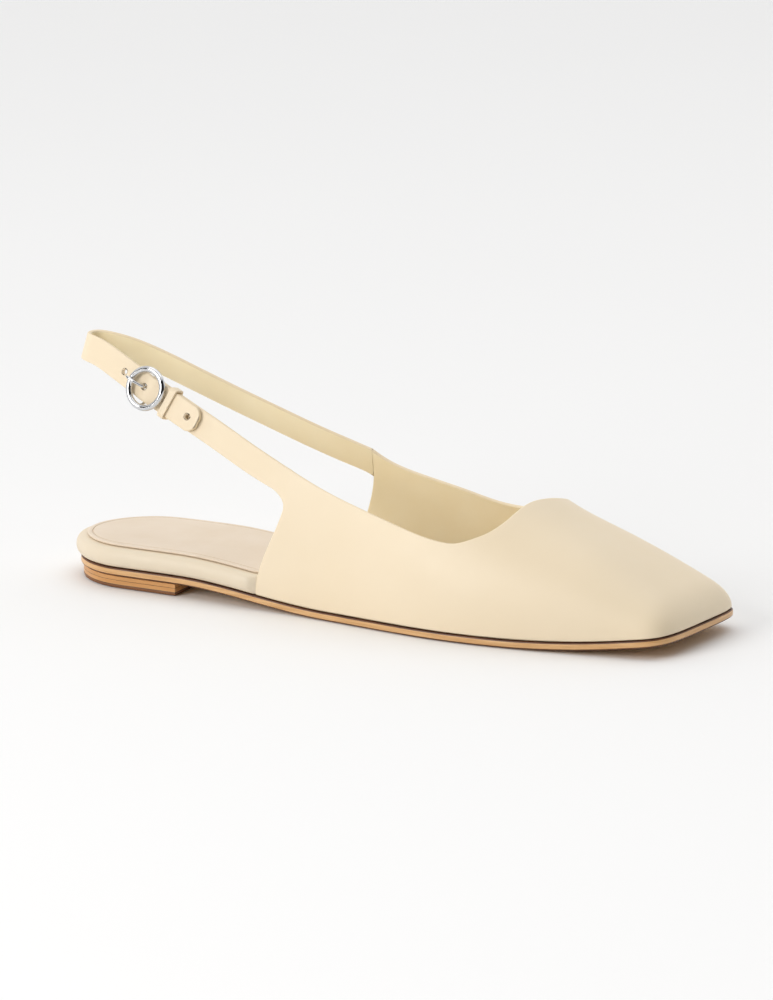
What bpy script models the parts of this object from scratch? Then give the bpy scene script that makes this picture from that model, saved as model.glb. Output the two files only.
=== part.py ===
"""A sling back flat: the right shoe, square toed and open behind, with a buckled heel strap.

Places are worked out along the shoe. "Ahead" is the distance from the back of the heel, "out" is
the distance from the long axis, and a side is -1 for lateral and +1 for medial.
"""
from collections import namedtuple
import math

import bmesh
import bpy
import numpy as np
from mathutils import Matrix, Vector

MM = 0.001
LATERAL = -1
MEDIAL = 1

# Main sizes of the shoe
LENGTH = 258.0 * MM
BALL_WIDTH = 78.0 * MM
INSTEP_HEIGHT = 88.0 * MM
HEEL_HEIGHT = 4.5 * MM
TOE_SPRING = 5.6 * MM

# Clearance between pieces that meet
SEAM = 0.3 * MM
INSOLE_GAP = 0.5 * MM

# Sole, heel and insole
OUTSOLE_THICKNESS = 3.0 * MM
OUTSOLE_ROUND = 0.7 * MM
HEEL_LENGTH = 51.0 * MM
HEEL_INSET = 1.0 * MM
HEEL_ROUND = 0.5 * MM
FOOTBED_THICKNESS = 7.4 * MM
FOREPART_THICKNESS = 2.6 * MM
FOOTBED_ROUND = 2.6 * MM
RAND_SWELL = 1.8 * MM
SOCK_THICKNESS = 0.9 * MM
SOCK_INSET = 2.6 * MM
SOCK_ROUND = 0.25 * MM
TOE_ROOM = 4.5 * MM

# Upper and strap
WALL = 1.7 * MM
FEATHER_INSET = 0.4 * MM
STRAP_WIDTH = 10.2 * MM
STRAP_THICKNESS = 1.7 * MM
STRAP_LEAN = math.radians(15)
STRAP_BACK_HEIGHT = 87.0 * MM
ROOT_FILLET = {LATERAL: 4.5 * MM, MEDIAL: 1.2 * MM}
FILLET_REACH = 7.0 * MM
ROOT_BLEND = 20.0 * MM

# Buckle, its holes and the keeper
BUCKLE_AHEAD = 34.3 * MM
RING_DIAMETER = 17.0 * MM
RING_WIRE = 2.4 * MM
RING_CLEAR = 0.45 * MM
BAR_WIRE = 1.2 * MM
PRONG_WIRE = 1.1 * MM
PRONG_DROP = 0.2 * MM
EYE_WALL = 0.85 * MM
BAR_CLEAR = 0.3 * MM
STRAP_DOME = 0.8 * MM
HOLE_PITCH = 10.9 * MM
HOLE_DIAMETER = 1.9 * MM
HOLE_STEPS = (-1, 0, 1, 2)
TAIL_LENGTH = 25.4 * MM
TAIL_ROUND = 4.0 * MM
TAIL_CLEAR = 2.0 * MM
FRONT_BLEND = 6.0 * MM
KEEPER_AHEAD = 10.4 * MM
KEEPER_WIDTH = 2.8 * MM
KEEPER_THICKNESS = 0.9 * MM
KEEPER_ROUND = 0.7 * MM

# Where the layers lie at the buckle, outward from the strap's course
LAYER = STRAP_THICKNESS + SEAM
TAIL_FACE = 0.3 * LAYER
FRONT_FACE = TAIL_FACE - LAYER
RING_RADIUS = (RING_DIAMETER - RING_WIRE) / 2
RING_LEVEL = TAIL_FACE + RING_CLEAR + RING_WIRE / 2
EYE_RADIUS = BAR_WIRE / 2 + SEAM + EYE_WALL
BAR_LEVEL = TAIL_FACE - STRAP_THICKNESS + STRAP_DOME - SEAM - EYE_RADIUS
HOOK_RADIUS = (BAR_WIRE + PRONG_WIRE) / 2 + SEAM
LIFT_END = 1.3 * RING_RADIUS
DOME_REACH = 0.8 * RING_RADIUS

# Shape of the heel and toe ends of the outline
HEEL_CAP = 25.8 * MM
TOE_CAP = 15.0 * MM
TOE_SKEW = 3.4 * MM
TOE_SQUARE = 4.4
SKEW_REACH = 39.0 * MM
ROUND_SECTION = 2.2
SWELL_PEAK = 0.8

# Where the sole leaves the ground, as shares of the length
SEAT_END = 0.20
WAIST_END = 0.46
SPRING_START = 0.72
FOREPART_START = 0.56
WAIST_START = 0.40

# Where the sections change from round to square, and the ridge from medial to middle
SQUARE_START = {LATERAL: 0.64, MEDIAL: 0.76}
SQUARE_END = 0.94
RIDGE_SHIFT = 4.0 * MM
RIDGE_START = 0.76
RIDGE_END = 0.94

# The outline of the outsole, as shares of the length and of the ball width
Outline = namedtuple("Outline", "at lateral medial")
OUTLINE = [
    Outline(0.00, 0.303, 0.306),
    Outline(0.10, 0.327, 0.344),
    Outline(0.20, 0.340, 0.341),
    Outline(0.33, 0.376, 0.305),
    Outline(0.45, 0.417, 0.306),
    Outline(0.55, 0.467, 0.372),
    Outline(0.65, 0.501, 0.462),
    Outline(0.72, 0.496, 0.494),
    Outline(0.82, 0.459, 0.473),
    Outline(0.92, 0.405, 0.418),
    Outline(1.00, 0.371, 0.360),
]

# The last above the sole: its crown as shares of the instep height, and how far each side
# swells past the sole's edge, as shares of the ball width
Section = namedtuple("Section", "at crown lateral_swell medial_swell")
SECTIONS = [
    Section(0.33, 1.020, 0.013, 0.070),
    Section(0.43, 0.965, 0.013, 0.077),
    Section(0.57, 0.800, 0.015, 0.040),
    Section(0.65, 0.696, 0.010, 0.015),
    Section(0.75, 0.532, 0.008, 0.008),
    Section(0.85, 0.394, 0.006, 0.006),
    Section(0.95, 0.253, 0.003, 0.003),
    Section(1.00, 0.180, 0.000, 0.000),
]

# The topline from a wing's rear corner to the middle of the throat: a share of the length on
# each side, and the share of the crown's height that the edge reaches there
Topline = namedtuple("Topline", "lateral medial rise")
TOPLINE = [
    Topline(0.384, 0.422, 0.598),
    Topline(0.430, 0.447, 0.566),
    Topline(0.477, 0.482, 0.549),
    Topline(0.570, 0.570, 0.543),
    Topline(0.646, 0.650, 0.555),
    Topline(0.667, 0.670, 0.586),
    Topline(0.687, 0.694, 0.651),
    Topline(0.707, 0.716, 0.737),
    Topline(0.721, 0.733, 0.827),
    Topline(0.729, 0.745, 0.902),
    Topline(0.733, 0.751, 0.952),
    Topline(0.736, 0.752, 0.981),
    Topline(0.746, 0.746, 1.000),
]

# The foot of each wing's rear edge, and the last upright rib, as shares of the length
WING_FOOT = {LATERAL: 0.337, MEDIAL: 0.392}
WING_FRONT = 0.50

# How far up its rib a wing's rear edge has run to its corner, and how far the vamp's ribs lean
# toward the throat
REAR_EDGE_TOP = 0.86
THROAT_LEAD = 0.6

# The strap's course from the back of the heel to a wing's rear corner, as shares of the way
# ahead, of the way out and of the way down
Course = namedtuple("Course", "run spread drop")
COURSE = [
    Course(0.000, 0.000, 0.000),
    Course(0.004, 0.088, 0.000),
    Course(0.013, 0.153, 0.001),
    Course(0.030, 0.213, 0.004),
    Course(0.055, 0.252, 0.012),
    Course(0.090, 0.290, 0.030),
    Course(0.160, 0.378, 0.088),
    Course(0.320, 0.530, 0.266),
    Course(0.480, 0.645, 0.452),
    Course(0.650, 0.755, 0.640),
    Course(0.810, 0.868, 0.815),
    Course(1.000, 1.000, 1.000),
]

# How finely the curved pieces are divided
HEEL_STATIONS = (0.22, 0.40, 0.56, 0.71, 0.84, 0.94, 0.99)
TOE_STATIONS = (0.985, 0.95, 0.89, 0.80, 0.66, 0.45)
BODY_STATIONS = 26
WING_COLUMNS = 6
VAMP_COLUMNS = 27
WALL_ROWS = 13
BAND_ROWS = 4
ROOT_STEPS = (0.03, 0.12, 0.30, 0.58, 1.0)
ROW_GRADING = 1.3
RIB_GRADING = 2.6
CURVE_POINTS = 160
STRAP_POINTS = 700
STATION_GAP = 2.0 * MM
STRAP_STEP = 3.2 * MM
SIDE_STEP = 5.0 * MM
BEND_STEP = 1.6 * MM
TAIL_STEP = 2.4 * MM
BEND_REACH = 18.0 * MM
CORNER_WEIGHT = 18.0 * MM
DIRECTION_STEP = 0.4 * MM
TIP_STATIONS = (0.5, 0.8, 0.96)
TIP_FULLNESS = 0.9

# How the centre bar bends up to the ring, as shares of the way out and of the way up, and how
# the prong leaves its hole, as distances back and up
BAR_BEND = ((1.0, 1.0), (0.96, 0.6), (0.80, 0.25), (0.50, 0.08), (0.0, 0.0))
PRONG_BEND = ((0.0, -0.3 * MM), (0.3 * MM, 0.3 * MM), (1.0 * MM, 0.7 * MM))

# Shares used in rounding the footbed's sides, and in fitting it into the upper
ROUND_DEPTH = 0.3
LOW_SWELL = 0.5
MIDDLE_SWELL = 0.9
CORNER_SWELL = 0.4
THIN_ROUND = 0.35
ROOM_DROP = 1.2 * WALL
ROOM_SWELL = 0.75

# Colours of the leathers
CREAM = (0.88, 0.76, 0.57)
PALE_CREAM = (0.86, 0.76, 0.62)
PINK_BEIGE = (0.80, 0.68, 0.55)
TAN = (0.55, 0.30, 0.12)
DARK_TAN = (0.45, 0.22, 0.08)
METAL = (0.80, 0.80, 0.82)


def mix(first, second, part):
    """Return the value that lies a given part of the way between two others."""
    return first + (second - first) * part


def ease(low, high, value):
    """Return 0 below one value and 1 above another, with a smooth rise between."""
    part = min(1.0, max(0.0, (value - low) / (high - low)))
    return part * part * (3 - 2 * part)


def fair_curve(places, values):
    """Return a function that follows a natural cubic through the given values."""
    x = np.array(places, float)
    y = np.array(values, float)
    count = len(x)
    step = np.diff(x)
    slope = np.diff(y) / step
    system = np.eye(count)
    target = np.zeros(count)
    for i in range(1, count - 1):
        system[i, i - 1:i + 2] = step[i - 1], 2 * (step[i - 1] + step[i]), step[i]
        target[i] = 6 * (slope[i] - slope[i - 1])
    bend = np.linalg.solve(system, target)

    def value(place):
        i = int(min(max(np.searchsorted(x, place) - 1, 0), count - 2))
        after = place - x[i]
        left = step[i] - after
        cubic = (bend[i] * left ** 3 + bend[i + 1] * after ** 3) / (6 * step[i])
        start = y[i] / step[i] - bend[i] * step[i] / 6
        end = y[i + 1] / step[i] - bend[i + 1] * step[i] / 6
        return float(cubic + start * left + end * after)

    return value


def table_curve(table, column, place="at"):
    """Return the fair curve through one column of a table."""
    places = [getattr(row, place) for row in table]
    return fair_curve(places, [getattr(row, column) for row in table])


WIDTH = {LATERAL: table_curve(OUTLINE, "lateral"), MEDIAL: table_curve(OUTLINE, "medial")}
CROWN = table_curve(SECTIONS, "crown")
SWELL = {
    LATERAL: table_curve(SECTIONS, "lateral_swell"),
    MEDIAL: table_curve(SECTIONS, "medial_swell"),
}


def heel_round(ahead, inset=0.0):
    """Return how much of its width the outline has in the round of the heel."""
    gap = max(0.0, 1 - (ahead - inset) / (HEEL_CAP - inset))
    return math.sqrt(max(0.0, 1 - gap ** 2))


def toe_reach(ahead, inset=0.0):
    """Return how far a place lies into the rounded corners of the toe, from 0 to 1."""
    reach = (ahead - (LENGTH - TOE_CAP)) / (TOE_CAP - inset)
    return min(1.0, max(0.0, reach))


def toe_round(ahead, inset=0.0):
    """Return how much of its width the outline has in the square of the toe."""
    return max(0.0, 1 - toe_reach(ahead, inset) ** TOE_SQUARE) ** (1 / TOE_SQUARE)


def plain_width(side, ahead, inset=0.0):
    """Return the outline's distance from the axis before its ends are rounded."""
    return WIDTH[side](ahead / LENGTH) * BALL_WIDTH - inset


def half_width(side, ahead, inset=0.0):
    """Return the outline's distance from the axis, drawn in by an inset all round."""
    ends = heel_round(ahead, inset) * toe_round(ahead, inset)
    return plain_width(side, ahead, inset) * ends


def underside(ahead):
    """Return the height of the outsole's underside over the ground."""
    at = ahead / LENGTH
    seat = (HEEL_HEIGHT + SEAM) * (1 - ease(SEAT_END, WAIST_END, at))
    spring = max(0.0, (at - SPRING_START) / (1 - SPRING_START)) ** 2
    return seat + TOE_SPRING * spring


def outsole_top(ahead):
    """Return the height of the outsole's upper face."""
    return underside(ahead) + OUTSOLE_THICKNESS


def feather(ahead):
    """Return the height of the lower edge of the upper and the footbed."""
    return outsole_top(ahead) + SEAM


def footbed_thickness(ahead):
    """Return the footbed's thickness, full behind and thin inside the toe."""
    thin = ease(WAIST_START, FOREPART_START, ahead / LENGTH)
    return mix(FOOTBED_THICKNESS, FOREPART_THICKNESS, thin)


def footbed_top(ahead):
    """Return the height of the footbed's upper face."""
    return feather(ahead) + footbed_thickness(ahead)


def squareness(side, ahead):
    """Return the exponent of the last's section, round at the ball and square at the toe."""
    square = ease(SQUARE_START[side], SQUARE_END, ahead / LENGTH)
    return mix(ROUND_SECTION, TOE_SQUARE, square)


def crown_rise(ahead):
    """Return the height of the last's ridge over the feather edge."""
    return CROWN(ahead / LENGTH) * INSTEP_HEIGHT - feather(ahead)


def ridge(ahead):
    """Return how far toward the medial side the last's ridge lies."""
    return RIDGE_SHIFT * (1 - ease(RIDGE_START, RIDGE_END, ahead / LENGTH))


def rise_at(ahead, y):
    """Return the share of the crown's height that the last has at a place in plan."""
    side = MEDIAL if y > ridge(ahead) else LATERAL
    edge = side * plain_width(side, ahead, FEATHER_INSET)
    across = abs((y - ridge(ahead)) / (edge - ridge(ahead))) ** squareness(side, ahead)
    along = toe_reach(ahead, FEATHER_INSET) ** TOE_SQUARE
    return math.sqrt(max(0.0, 1 - across - along))


def plan_at(side, ahead, rise, inset=FEATHER_INSET):
    """Return where in plan the last has a share of the crown's height."""
    along = toe_reach(ahead, inset) ** TOE_SQUARE
    left = max(0.0, 1 - rise ** 2 - along)
    edge = side * plain_width(side, ahead, inset)
    return mix(ridge(ahead), edge, left ** (1 / squareness(side, ahead)))


def swell_at(side, ahead, rise):
    """Return how far the last swells past its plain section."""
    return SWELL[side](ahead / LENGTH) * BALL_WIDTH * math.sin(math.pi * min(1.0, rise) ** SWELL_PEAK)


def last_point(ahead, y):
    """Return the point of the upper's outer face over a place in plan."""
    rise = rise_at(ahead, y)
    side = MEDIAL if y > ridge(ahead) else LATERAL
    swollen = y + side * swell_at(side, ahead, rise)
    return Vector((ahead, swollen, feather(ahead) + rise * crown_rise(ahead)))


def room_out(side, ahead, height):
    """Return how far out a piece inside the upper may reach at a height."""
    inset = FEATHER_INSET + WALL + INSOLE_GAP
    rise = (height - feather(ahead)) / (crown_rise(ahead) - ROOM_DROP)
    out = side * plan_at(side, ahead, rise, inset)
    return out + swell_at(side, ahead, ROOM_SWELL * rise)


def place(point):
    """Move a point from the heel's back to the part's origin, with the toe's slight skew."""
    reach = ease(LENGTH - SKEW_REACH, LENGTH, point[0])
    skew = TOE_SKEW * reach * point[1] / (BALL_WIDTH / 2)
    origin = HEEL_INSET + HEEL_LENGTH / 2
    return Vector((point[0] + skew - origin, point[1], point[2]))


def stations(start, end, inset=0.0):
    """Return places along the shoe, closer together in the round heel and the toe."""
    toe_start = LENGTH - TOE_CAP
    cap = HEEL_CAP - inset
    places = [inset + cap * (1 - math.sqrt(1 - part ** 2)) for part in HEEL_STATIONS]
    body = np.linspace(HEEL_CAP, toe_start, BODY_STATIONS)
    places += [float(value) for value in body]
    for part in TOE_STATIONS:
        reach = (1 - part ** TOE_SQUARE) ** (1 / TOE_SQUARE)
        places.append(toe_start + (TOE_CAP - inset) * reach)
    inside = [value for value in places if start < value < end]
    return inside


def walked(points):
    """Return the distance walked along a row of points, up to each of them."""
    steps = [(b - a).length for a, b in zip(points, points[1:])]
    return np.concatenate(([0.0], np.cumsum(steps)))


def point_along(points, walk, distance):
    """Return the point that lies a distance along a row of points."""
    return Vector([float(np.interp(distance, walk, [p[i] for p in points])) for i in range(3)])


def turned(points, weight):
    """Return a measure along a row of points that grows with its length and its turns."""
    measure = [0.0]
    for i in range(1, len(points)):
        step = points[i] - points[i - 1]
        turn = 0.0
        if i > 1:
            turn = step.angle(points[i - 1] - points[i - 2], 0.0)
        measure.append(measure[-1] + step.length + weight * turn)
    return np.array(measure)


def new_collection(name):
    """Make a collection in the scene."""
    collection = bpy.data.collections.new(name)
    bpy.context.scene.collection.children.link(collection)
    return collection


def material(name, colour, roughness, metallic=0.0):
    """Make a Principled material."""
    made = bpy.data.materials.new(name)
    made.use_nodes = True
    shader = made.node_tree.nodes["Principled BSDF"]
    shader.inputs["Base Color"].default_value = (*colour, 1.0)
    shader.inputs["Roughness"].default_value = roughness
    shader.inputs["Metallic"].default_value = metallic
    made.diffuse_color = (*colour, 1.0)
    return made


def mesh_object(name, points, faces, collection, finish, closed=True):
    """Make an object from points in the shoe's frame and their faces."""
    mesh = bpy.data.meshes.new(name)
    mesh.from_pydata([place(point) for point in points], [], faces)
    if closed:
        shape = bmesh.new()
        shape.from_mesh(mesh)
        bmesh.ops.recalc_face_normals(shape, faces=shape.faces)
        shape.to_mesh(mesh)
        shape.free()
    return dress(bpy.data.objects.new(name, mesh), collection, finish)


def dress(piece, collection, finish):
    """Put an object in its collection with its material and smooth shading."""
    collection.objects.link(piece)
    if finish:
        piece.data.materials.append(finish)
    piece.data.shade_smooth()
    piece.data.set_sharp_from_angle(angle=math.radians(35))
    return piece


def loft(name, rings, collection, finish):
    """Join a row of closed rings of points into one capped solid."""
    count = len(rings[0])
    points = [point for ring in rings for point in ring]
    faces = [list(range(count))[::-1], [len(points) - count + i for i in range(count)]]
    for row in range(len(rings) - 1):
        for i in range(count):
            j = (i + 1) % count
            low = row * count
            faces.append([low + i, low + j, low + count + j, low + count + i])
    return mesh_object(name, points, faces, collection, finish)


def slab_ring(ahead, widths, bottom, top, rounding, swell=0.0):
    """Return a cross-section of a flat piece with rounded sides.

    The widths hold, for each side, the distance from the axis at the bottom and the top.
    """
    middle = (bottom + top) / 2
    ring = []
    for side in (LATERAL, MEDIAL):
        low, high = widths[side]
        edge = [
            (low - rounding, bottom),
            (low - rounding * ROUND_DEPTH, bottom + rounding * ROUND_DEPTH),
            (low + swell * LOW_SWELL, bottom + rounding),
            ((low + high) / 2 + swell * MIDDLE_SWELL, middle),
            (high + swell, top - rounding),
            (high + swell * CORNER_SWELL - rounding * ROUND_DEPTH, top - rounding * ROUND_DEPTH),
            (high - rounding, top),
        ]
        side_points = [Vector((ahead, side * out, height)) for out, height in edge]
        ring += side_points if side == MEDIAL else side_points[::-1]
    return ring


def flat_ring(ahead, widths, bottom, top, rounding):
    """Return a cross-section of a flat piece with small round edges."""
    ring = []
    for side in (LATERAL, MEDIAL):
        out = widths[side]
        edge = [
            (out - rounding, bottom),
            (out, bottom + rounding),
            (out, top - rounding),
            (out - rounding, top),
        ]
        side_points = [Vector((ahead, side * far, height)) for far, height in edge]
        ring += side_points if side == MEDIAL else side_points[::-1]
    return ring


def build_outsole(collection):
    """Make the sole with its outline, seat, waist and toe spring."""
    rings = []
    for ahead in stations(0.0, LENGTH):
        widths = {side: half_width(side, ahead) for side in (LATERAL, MEDIAL)}
        rings.append(flat_ring(ahead, widths, underside(ahead), outsole_top(ahead),
                               OUTSOLE_ROUND))
    finish = material("sole_leather", TAN, 0.45)
    return loft("outsole", rings, collection, finish)


def build_heel(collection):
    """Make the low heel under the seat, with a straight breast."""
    end = HEEL_INSET + HEEL_LENGTH
    places = stations(0.0, end - STATION_GAP, HEEL_INSET) + [end]
    rings = []
    for ahead in places:
        widths = {side: half_width(side, ahead, HEEL_INSET) for side in (LATERAL, MEDIAL)}
        rings.append(flat_ring(ahead, widths, 0.0, HEEL_HEIGHT, HEEL_ROUND))
    finish = material("heel_leather", DARK_TAN, 0.5)
    return loft("heel_block", rings, collection, finish)


def footbed_widths(side, ahead):
    """Return the footbed's distance from the axis at its bottom and its top."""
    rear = WING_FOOT[side] * LENGTH
    if ahead < rear:
        open_width = half_width(side, ahead)
        return open_width, open_width
    return room_out(side, ahead, feather(ahead)), room_out(side, ahead, footbed_top(ahead))


def build_footbed(collection):
    """Make the wrapped insole, which steps in where the wings begin."""
    front = LENGTH - TOE_ROOM
    places = stations(0.0, front)
    for side in (LATERAL, MEDIAL):
        step = WING_FOOT[side] * LENGTH
        places += [step - INSOLE_GAP, step]
    rings = []
    for ahead in sorted(places):
        widths = {side: footbed_widths(side, ahead) for side in (LATERAL, MEDIAL)}
        swell = RAND_SWELL if ahead < WING_FOOT[LATERAL] * LENGTH else 0.0
        top = footbed_top(ahead)
        rounding = min(FOOTBED_ROUND, THIN_ROUND * footbed_thickness(ahead))
        rings.append(slab_ring(ahead, widths, feather(ahead), top, rounding, swell))
    finish = material("footbed_leather", PALE_CREAM, 0.5)
    return loft("footbed", rings, collection, finish)


def build_sock(collection):
    """Make the sock lining that lies on the footbed."""
    rings = []
    for ahead in stations(SOCK_INSET, LENGTH - TOE_ROOM - SOCK_INSET, SOCK_INSET):
        widths = {}
        for side in (LATERAL, MEDIAL):
            inner = footbed_widths(side, ahead)[1] - FOOTBED_ROUND
            widths[side] = min(half_width(side, ahead, SOCK_INSET), inner)
        low = footbed_top(ahead) + SEAM
        rings.append(flat_ring(ahead, widths, low, low + SOCK_THICKNESS, SOCK_ROUND))
    finish = material("sock_leather", PINK_BEIGE, 0.55)
    return loft("sock", rings, collection, finish)


def topline_plan():
    """Return the whole topline in plan, from the lateral wing to the medial wing."""
    knots = []
    for side, rows in ((LATERAL, TOPLINE), (MEDIAL, TOPLINE[-2::-1])):
        for row in rows:
            ahead = LENGTH * (row.lateral if side == LATERAL else row.medial)
            knots.append(Vector((ahead, plan_at(side, ahead, row.rise), 0.0)))
    walk = walked(knots)
    along = fair_curve(walk, [knot[0] for knot in knots])
    out = fair_curve(walk, [knot[1] for knot in knots])
    middle = walk[len(TOPLINE) - 1]
    lateral = np.linspace(0.0, middle, CURVE_POINTS)
    medial = np.linspace(walk[-1], middle, CURVE_POINTS)
    halves = {}
    for side, places in ((LATERAL, lateral), (MEDIAL, medial)):
        halves[side] = [Vector((along(t), out(t), 0.0)) for t in places]
    return halves


def toe_steps():
    """Return places round the toe's corner, as reaches ahead and shares of the width."""
    steps = []
    for value in np.linspace(0.0, 1.0, CURVE_POINTS):
        other = (1 - value ** TOE_SQUARE) ** (1 / TOE_SQUARE)
        steps += [(value, other), (other, value)]
    return sorted(steps, key=lambda step: step[0] - step[1])[1:]


def feather_plan(side):
    """Return the upper's lower edge in plan, from the last upright rib to the toe's middle."""
    start = WING_FRONT * LENGTH
    toe_start = LENGTH - TOE_CAP
    points = []
    for ahead in np.linspace(start, toe_start, CURVE_POINTS):
        points.append(Vector((ahead, side * plain_width(side, ahead, FEATHER_INSET), 0.0)))
    for reach, part in toe_steps():
        ahead = toe_start + (TOE_CAP - FEATHER_INSET) * reach
        points.append(Vector((ahead, side * plain_width(side, ahead, FEATHER_INSET) * part, 0.0)))
    return points


def wing_rib(side, part, top):
    """Return a rib of a wing, a part of the way from its rear edge to the upright rib."""
    front = WING_FRONT * LENGTH
    foot = WING_FOOT[side] * LENGTH
    head = top[0][0]
    ahead_top = mix(head, front, part)
    y_top = float(np.interp(ahead_top, [point[0] for point in top], [point[1] for point in top]))
    rise_top = rise_at(ahead_top, y_top)
    points = []
    for step in np.linspace(0.0, 1.0, CURVE_POINTS):
        rear = mix(foot, head, ease(0.0, REAR_EDGE_TOP, step))
        ahead = mix(rear, front, part)
        points.append(last_point(ahead, plan_at(side, ahead, step * rise_top)))
    return points


def vamp_rib(low, high):
    """Return a rib of the vamp over a straight line in plan."""
    points = [Vector((low[0], low[1], feather(low[0])))]
    for step in np.linspace(0.0, 1.0, CURVE_POINTS)[1:] ** RIB_GRADING:
        spot = low.lerp(high, step)
        points.append(last_point(spot[0], spot[1]))
    return points


def spaced_rib(side, points):
    """Return a rib's points in rows: graded up the wall, even in the band under the topline."""
    walk = walked(points)
    height = STRAP_WIDTH + ROOT_FILLET[side]
    band = walk[-1] - height
    wall = [band * (i / WALL_ROWS) ** ROW_GRADING for i in range(WALL_ROWS)]
    edge = [band + height * i / BAND_ROWS for i in range(BAND_ROWS + 1)]
    return [point_along(points, walk, distance) for distance in wall + edge]


def side_ribs(side, top):
    """Return the ribs of one side of the upper, from its rear edge to the toe's middle."""
    ribs = [wing_rib(side, i / WING_COLUMNS, top) for i in range(WING_COLUMNS)]
    low = feather_plan(side)
    high = [point for point in top if point[0] > WING_FRONT * LENGTH]
    edge = turned(low, CORNER_WEIGHT)
    throat = walked(high)
    for i in range(VAMP_COLUMNS + 1):
        part = i / VAMP_COLUMNS
        foot = point_along(low, edge, part * edge[-1])
        lead = part + THROAT_LEAD * part * (1 - part)
        head = point_along(high, throat, lead * throat[-1])
        ribs.append(vamp_rib(foot, head))
    return [spaced_rib(side, rib) for rib in ribs]


def upper_ribs():
    """Return the ribs of both sides of the upper, each from its wing to the toe's middle."""
    halves = topline_plan()
    return {side: side_ribs(side, halves[side]) for side in (LATERAL, MEDIAL)}


class StrapPath:
    """The strap's course, from the medial wing round the heel to the lateral wing."""

    def __init__(self, ribs):
        roots = {}
        self.root_up = {}
        for side in (LATERAL, MEDIAL):
            band = ribs[side][0][WALL_ROWS:]
            self.root_up[side] = (band[-1] - band[0]).normalized()
            roots[side] = band[-1] - self.root_up[side] * STRAP_WIDTH / 2
        knots = []
        for side, rows in ((MEDIAL, COURSE[:0:-1]), (LATERAL, COURSE)):
            root = roots[side]
            for row in rows:
                height = mix(STRAP_BACK_HEIGHT, root[2], row.drop)
                knots.append(Vector((row.run * root[0], row.spread * root[1], height)))
        walk = walked(knots)
        curves = [fair_curve(walk, [knot[i] for knot in knots]) for i in range(3)]
        places = np.linspace(0.0, walk[-1], STRAP_POINTS)
        self.points = [Vector([curve(t) for curve in curves]) for t in places]
        self.walk = walked(self.points)
        self.length = float(self.walk[-1])

    def distance(self, side, ahead):
        """Return how far along the course one of its sides is a given way ahead."""
        back = int(np.argmin([point[0] for point in self.points]))
        count = len(self.points)
        places = range(back, -1, -1) if side == MEDIAL else range(back, count)
        reached = [self.points[i][0] for i in places]
        return float(np.interp(ahead, reached, [self.walk[i] for i in places]))

    def frame(self, distance):
        """Return the strap's middle, its direction, its width's direction and its outward face."""
        low = max(0.0, distance - DIRECTION_STEP)
        high = min(self.length, distance + DIRECTION_STEP)
        spot = point_along(self.points, self.walk, distance)
        before = point_along(self.points, self.walk, low)
        after = point_along(self.points, self.walk, high)
        along = (after - before).normalized()
        outward = Vector((along.y, -along.x, 0.0)).normalized()
        up = Vector((0, 0, 1)) * math.cos(STRAP_LEAN) - outward * math.sin(STRAP_LEAN)
        up = (up - along * up.dot(along)).normalized()
        for side, near in ((MEDIAL, distance), (LATERAL, self.length - distance)):
            up = self.root_up[side].lerp(up, ease(0.0, ROOT_BLEND, near)).normalized()
        return spot, along, up, along.cross(up).normalized()

    def row(self, distance, offset, width=STRAP_WIDTH):
        """Return the points across the strap, which widens downward where it meets a wing."""
        spot, along, up, outward = self.frame(distance)
        side = MEDIAL if distance < self.length / 2 else LATERAL
        near = max(0.0, min(distance, self.length - distance))
        away = 1 - min(1.0, near / FILLET_REACH)
        fillet = ROOT_FILLET[side] * (1 - math.sqrt(1 - away ** 2))
        low = spot + outward * offset - up * (width / 2 + fillet)
        return [low + up * (width + fillet) * i / BAND_ROWS for i in range(BAND_ROWS + 1)]

    def matrix(self, distance):
        """Return the frame at a distance as a matrix: along, up and outward."""
        spot, along, up, outward = self.frame(distance)
        ahead = place(spot + along * MM) - place(spot)
        ahead.normalize()
        up = (up - ahead * up.dot(ahead)).normalized()
        turn = Matrix((ahead, up, ahead.cross(up))).transposed()
        return Matrix.Translation(place(spot)) @ turn.to_4x4()


def even_steps(start, end, step):
    """Return even places from one distance to another, both kept."""
    count = max(2, int(round(abs(end - start) / step)))
    return [float(value) for value in np.linspace(start, end, count + 1)]


def wall_sheet(name, columns, collection, finish, thickness):
    """Make a wall from columns of points on its outer face, each with the row it starts at."""
    points = []
    index = []
    for first, column in columns:
        index.append({first + j: len(points) + j for j in range(len(column))})
        points += column
    faces = []
    for left, right in zip(index, index[1:]):
        for j in left:
            if j + 1 in left and j in right and j + 1 in right:
                faces.append([left[j], right[j], right[j + 1], left[j + 1]])
    piece = mesh_object(name, points, faces, collection, finish, closed=False)
    wall = piece.modifiers.new("wall", "SOLIDIFY")
    wall.thickness = thickness
    wall.offset = -1.0
    wall.use_even_offset = True
    return piece


def cut(piece, cutter, operation="DIFFERENCE"):
    """Cut one object from another, or join it."""
    boolean = piece.modifiers.new(cutter.name, "BOOLEAN")
    boolean.operation = operation
    boolean.solver = "EXACT"
    boolean.object = cutter


def helper(piece, cutters):
    """Keep an object as a cutter that is not part of the shoe."""
    for collection in list(piece.users_collection):
        collection.objects.unlink(piece)
    cutters.objects.link(piece)
    piece.hide_render = True
    piece.display_type = "WIRE"
    return piece


def round_cutter(name, radius, length, matrix, cutters, sides=14):
    """Make a round cutter about the Z axis of a matrix."""
    bpy.ops.mesh.primitive_cylinder_add(vertices=sides, radius=radius, depth=length)
    made = bpy.context.object
    made.name = name
    made.matrix_world = matrix
    return helper(made, cutters)


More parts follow.
